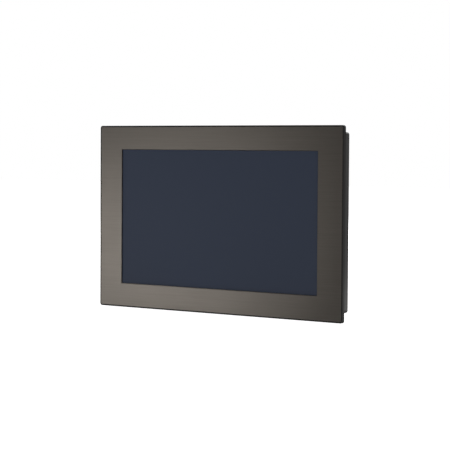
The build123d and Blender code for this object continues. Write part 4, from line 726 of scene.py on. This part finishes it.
class PANEL_OT_rocker_marks(bpy.types.Operator):
    """On and off marks moulded on the rocker"""
    bl_idname = "panel.rocker_marks"
    bl_label = "Rocker marks"

    def execute(self, context):
        low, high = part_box("power_rocker")
        pivot = Vector(((low.x + high.x) / 2, (low.y + high.y) / 2, -84.0 * MM))
        tilt = math.radians(12.0)        # the whole rocker rests tilted
        slope = math.atan2(1.1, 6.9)     # its face slopes from the waist to each end
        reach = 4.1 * MM
        depth = 3.82 * MM
        marks = []
        for side in (-1, 1):
            start_fresh()
            if side < 0:
                bpy.ops.mesh.primitive_torus_add(major_radius=1.3 * MM, minor_radius=0.16 * MM,
                                                 major_segments=32, minor_segments=8)
            else:
                bpy.ops.mesh.primitive_cube_add(size=1.0, scale=(0.32 * MM, 2.9 * MM, 0.3 * MM))
            mark = bpy.context.object
            spot = Vector((side * reach * math.cos(tilt) - depth * math.sin(tilt), 0,
                           -side * reach * math.sin(tilt) - depth * math.cos(tilt)))
            mark.location = pivot + spot
            mark.rotation_euler = (0, tilt - side * slope, 0)
            settle(mark, "mark")
            marks.append(mark if side < 0 else bevelled(mark, 0.06 * MM, 1))
        white = grained("mark_white", "#D8D8D4", 0.5, grain=1.0, depth=0.0)
        return hand_over(shade(join(marks, "rocker_marks")), white, "rocker")


class PANEL_OT_wire_clamps(bpy.types.Operator):
    """Plated cages inside the power plug's wire mouths"""
    bl_idname = "panel.wire_clamps"
    bl_label = "Wire clamps"

    def execute(self, context):
        low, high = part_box("power_plug")
        middle_x = (low.x + high.x) / 2
        middle_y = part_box("power_header")[0].y + 5.2 * MM
        pitch = 5.08 * MM
        side = 3.2 * MM
        wall = 0.35 * MM
        front = low.z + 1.4 * MM
        rear = low.z + 5.9 * MM
        bottom = 0.9 * MM
        cages = []
        for number in (-1, 0, 1):
            x = middle_x + number * pitch
            cage = cuboid("cage", (x - side / 2, middle_y - side / 2, front),
                          (x + side / 2, middle_y + side / 2, rear))
            pick_faces(cage, lambda f: f.normal.z < -0.9)
            bpy.ops.mesh.inset(thickness=wall)
            draw_out(0, 0, rear - front - bottom)
            leave_edit()
            cages.append(cage)
        return hand_over(shade(join(cages, "wire_clamps")), plain("zinc_screws"), "plug")


class PANEL_OT_battery_clip(bpy.types.Operator):
    """Spring clip over the clock battery"""
    bl_idname = "panel.battery_clip"
    bl_label = "Battery clip"

    def execute(self, context):
        low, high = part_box("battery")
        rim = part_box("battery_holder")[1]
        middle_x = (low.x + high.x) / 2
        width = 5.2 * MM
        sheet = 0.35 * MM
        # the foot stands on the holder, then the blade reaches over the rim, dips on to the battery and lifts
        foot = (3.0 * MM, 0.4 * MM)
        blade = ((0, -0.1 * MM, -4.0 * MM), (0, -0.85 * MM, -3.4 * MM), (0, 0.6 * MM, -1.6 * MM))
        clip = cuboid("battery_clip", (middle_x - width / 2, rim.y, rim.z - foot[0]),
                      (middle_x + width / 2, rim.y + sheet, rim.z - foot[1]))
        pick_faces(clip, lambda f: f.normal.z < -0.9)
        for reach in blade:
            draw_out(*reach)
        leave_edit()
        return hand_over(shade(clip, 50), plain("battery_steel"), "chassis")


# ---------------------------------------------------------------- stage

def light(name, where, aim, size, watts):
    """Rectangular soft white light that faces a point."""
    start_fresh()
    bpy.ops.object.light_add(type="AREA", location=where)
    lamp = bpy.context.object
    lamp.name = name
    lamp.data.shape = "RECTANGLE"
    lamp.data.size, lamp.data.size_y = size
    lamp.data.energy = watts
    lamp.visible_camera = False
    lamp.rotation_euler = (Vector(aim) - Vector(where)).to_track_quat("-Z", "Y").to_euler()


class PANEL_OT_stage(bpy.types.Operator):
    """Pale floor, soft lights and the camera"""
    bl_idname = "panel.stage"
    bl_label = "Studio"

    def execute(self, context):
        settings = context.scene.panel_studio
        scene = context.scene
        scene.view_settings.view_transform = "Standard"
        world = bpy.data.worlds.new("studio")
        scene.world = world
        world.use_nodes = True
        room = world.node_tree.nodes["Background"]
        room.inputs["Color"].default_value = linear("#FFFFFF")
        room.inputs["Strength"].default_value = settings.room_light
        backdrop = add(world.node_tree, "ShaderNodeBackground")
        backdrop.inputs["Color"].default_value = linear("#FFFFFF")
        seen = add(world.node_tree, "ShaderNodeLightPath")
        either = add(world.node_tree, "ShaderNodeMixShader", {0: seen.outputs["Is Camera Ray"],
                                                              1: room.outputs[0], 2: backdrop.outputs[0]})
        world.node_tree.links.new(either.outputs[0], world.node_tree.nodes["World Output"].inputs["Surface"])
        # white paper, clear when it is looked at from below
        start_fresh()
        bpy.ops.mesh.primitive_plane_add(size=14.0, location=(0, 0, CAD_BOX[0][2] - MM))
        floor = settle(bpy.context.object, "floor")
        paper, tree, shader = finish("white_paper", "#F2F2F0", 0.95)
        shader.inputs["Emission Color"].default_value = linear("#FFFFFF")
        shader.inputs["Emission Strength"].default_value = settings.floor_glow
        facing = add(tree, "ShaderNodeNewGeometry")
        clear = add(tree, "ShaderNodeBsdfTransparent")
        side = add(tree, "ShaderNodeMixShader", {0: facing.outputs["Backfacing"], 1: shader.outputs[0],
                                                 2: clear.outputs[0]})
        tree.links.new(side.outputs[0], tree.nodes["Material Output"].inputs["Surface"])
        dress(floor, paper)
        floor.visible_glossy = False
        # lights
        light("key_box", where=settings.key_place, aim=settings.key_aim, size=(0.5, 0.16),
              watts=settings.key_power)
        light("overhead", where=(0.5, -1.9, 2.0), aim=(0, 0, 0), size=(2.4, 2.4), watts=settings.fill_power)
        light("low_side", where=(0.33, 0.14, -0.13), aim=(0.215, -0.003, -0.13), size=(0.15, 0.02),
              watts=settings.low_power)
        light("side_wide", where=(1.6, 2.0, 0.1), aim=(0.2, 0, 0), size=(1.0, 1.0), watts=settings.side_power)
        light("window_edge", where=(-0.75, -0.1, 0.8), aim=(-0.1, -0.005, -0.1), size=(0.3, 0.3),
              watts=settings.edge_power)
        light("rear_wide", where=(-0.4, 2.6, 1.5), aim=(0, 0, 0), size=(2.0, 2.0), watts=settings.rear_power)
        # camera
        camera_data = bpy.data.cameras.new("camera")
        camera = bpy.data.objects.new("camera", camera_data)
        scene.collection.objects.link(camera)
        azimuth, elevation = settings.camera_azimuth, settings.camera_elevation
        away = Vector((math.sin(azimuth) * math.cos(elevation), -math.cos(azimuth) * math.cos(elevation),
                       math.sin(elevation)))
        camera.location = Vector(settings.camera_aim) + away * settings.camera_distance
        camera.rotation_euler = (-away).to_track_quat("-Z", "Y").to_euler()
        camera.rotation_euler.rotate_axis("Z", settings.camera_roll)
        camera_data.sensor_width = 36.0
        camera_data.lens = settings.lens
        camera_data.clip_start = 0.05
        camera_data.clip_end = 60.0
        scene.camera = camera
        return {"FINISHED"}


OPERATORS = (PANEL_OT_finishes, PANEL_OT_fascia, PANEL_OT_thumb_screw, PANEL_OT_network_sockets,
             PANEL_OT_usb_tongues, PANEL_OT_serial_insert, PANEL_OT_rocker_marks, PANEL_OT_wire_clamps,
             PANEL_OT_battery_clip, PANEL_OT_stage)


class PANEL_PT_tools(bpy.types.Panel):
    """Every builder, in the order it runs"""
    bl_label = "Touch panel"
    bl_idname = "PANEL_PT_tools"
    bl_space_type = "VIEW_3D"
    bl_region_type = "UI"
    bl_category = "Touch panel"

    def draw(self, context):
        for operator in OPERATORS:
            self.layout.operator(operator.bl_idname)
        for settings in (context.scene.panel_front, context.scene.panel_rear, context.scene.panel_studio):
            for name in settings.__annotations__:
                self.layout.prop(settings, name)


CLASSES = (PanelFront, PanelRear, PanelStudio, *OPERATORS, PANEL_PT_tools)


def register():
    """Registers every class and hangs the settings on the scene."""
    for item in CLASSES:
        bpy.utils.register_class(item)
    bpy.types.Scene.panel_front = bpy.props.PointerProperty(type=PanelFront)
    bpy.types.Scene.panel_rear = bpy.props.PointerProperty(type=PanelRear)
    bpy.types.Scene.panel_studio = bpy.props.PointerProperty(type=PanelStudio)


def unregister():
    """Takes the settings and the classes away again."""
    del bpy.types.Scene.panel_front
    del bpy.types.Scene.panel_rear
    del bpy.types.Scene.panel_studio
    for item in reversed(CLASSES):
        bpy.utils.unregister_class(item)


def main():
    """Builds everything in order."""
    register()
    bpy.ops.panel.finishes()
    bpy.ops.panel.fascia()
    bpy.ops.panel.thumb_screw()
    bpy.ops.panel.network_sockets()
    bpy.ops.panel.usb_tongues()
    bpy.ops.panel.serial_insert()
    bpy.ops.panel.rocker_marks()
    bpy.ops.panel.wire_clamps()
    bpy.ops.panel.battery_clip()
    bpy.ops.panel.stage()


if __name__ == "__main__":
    main()
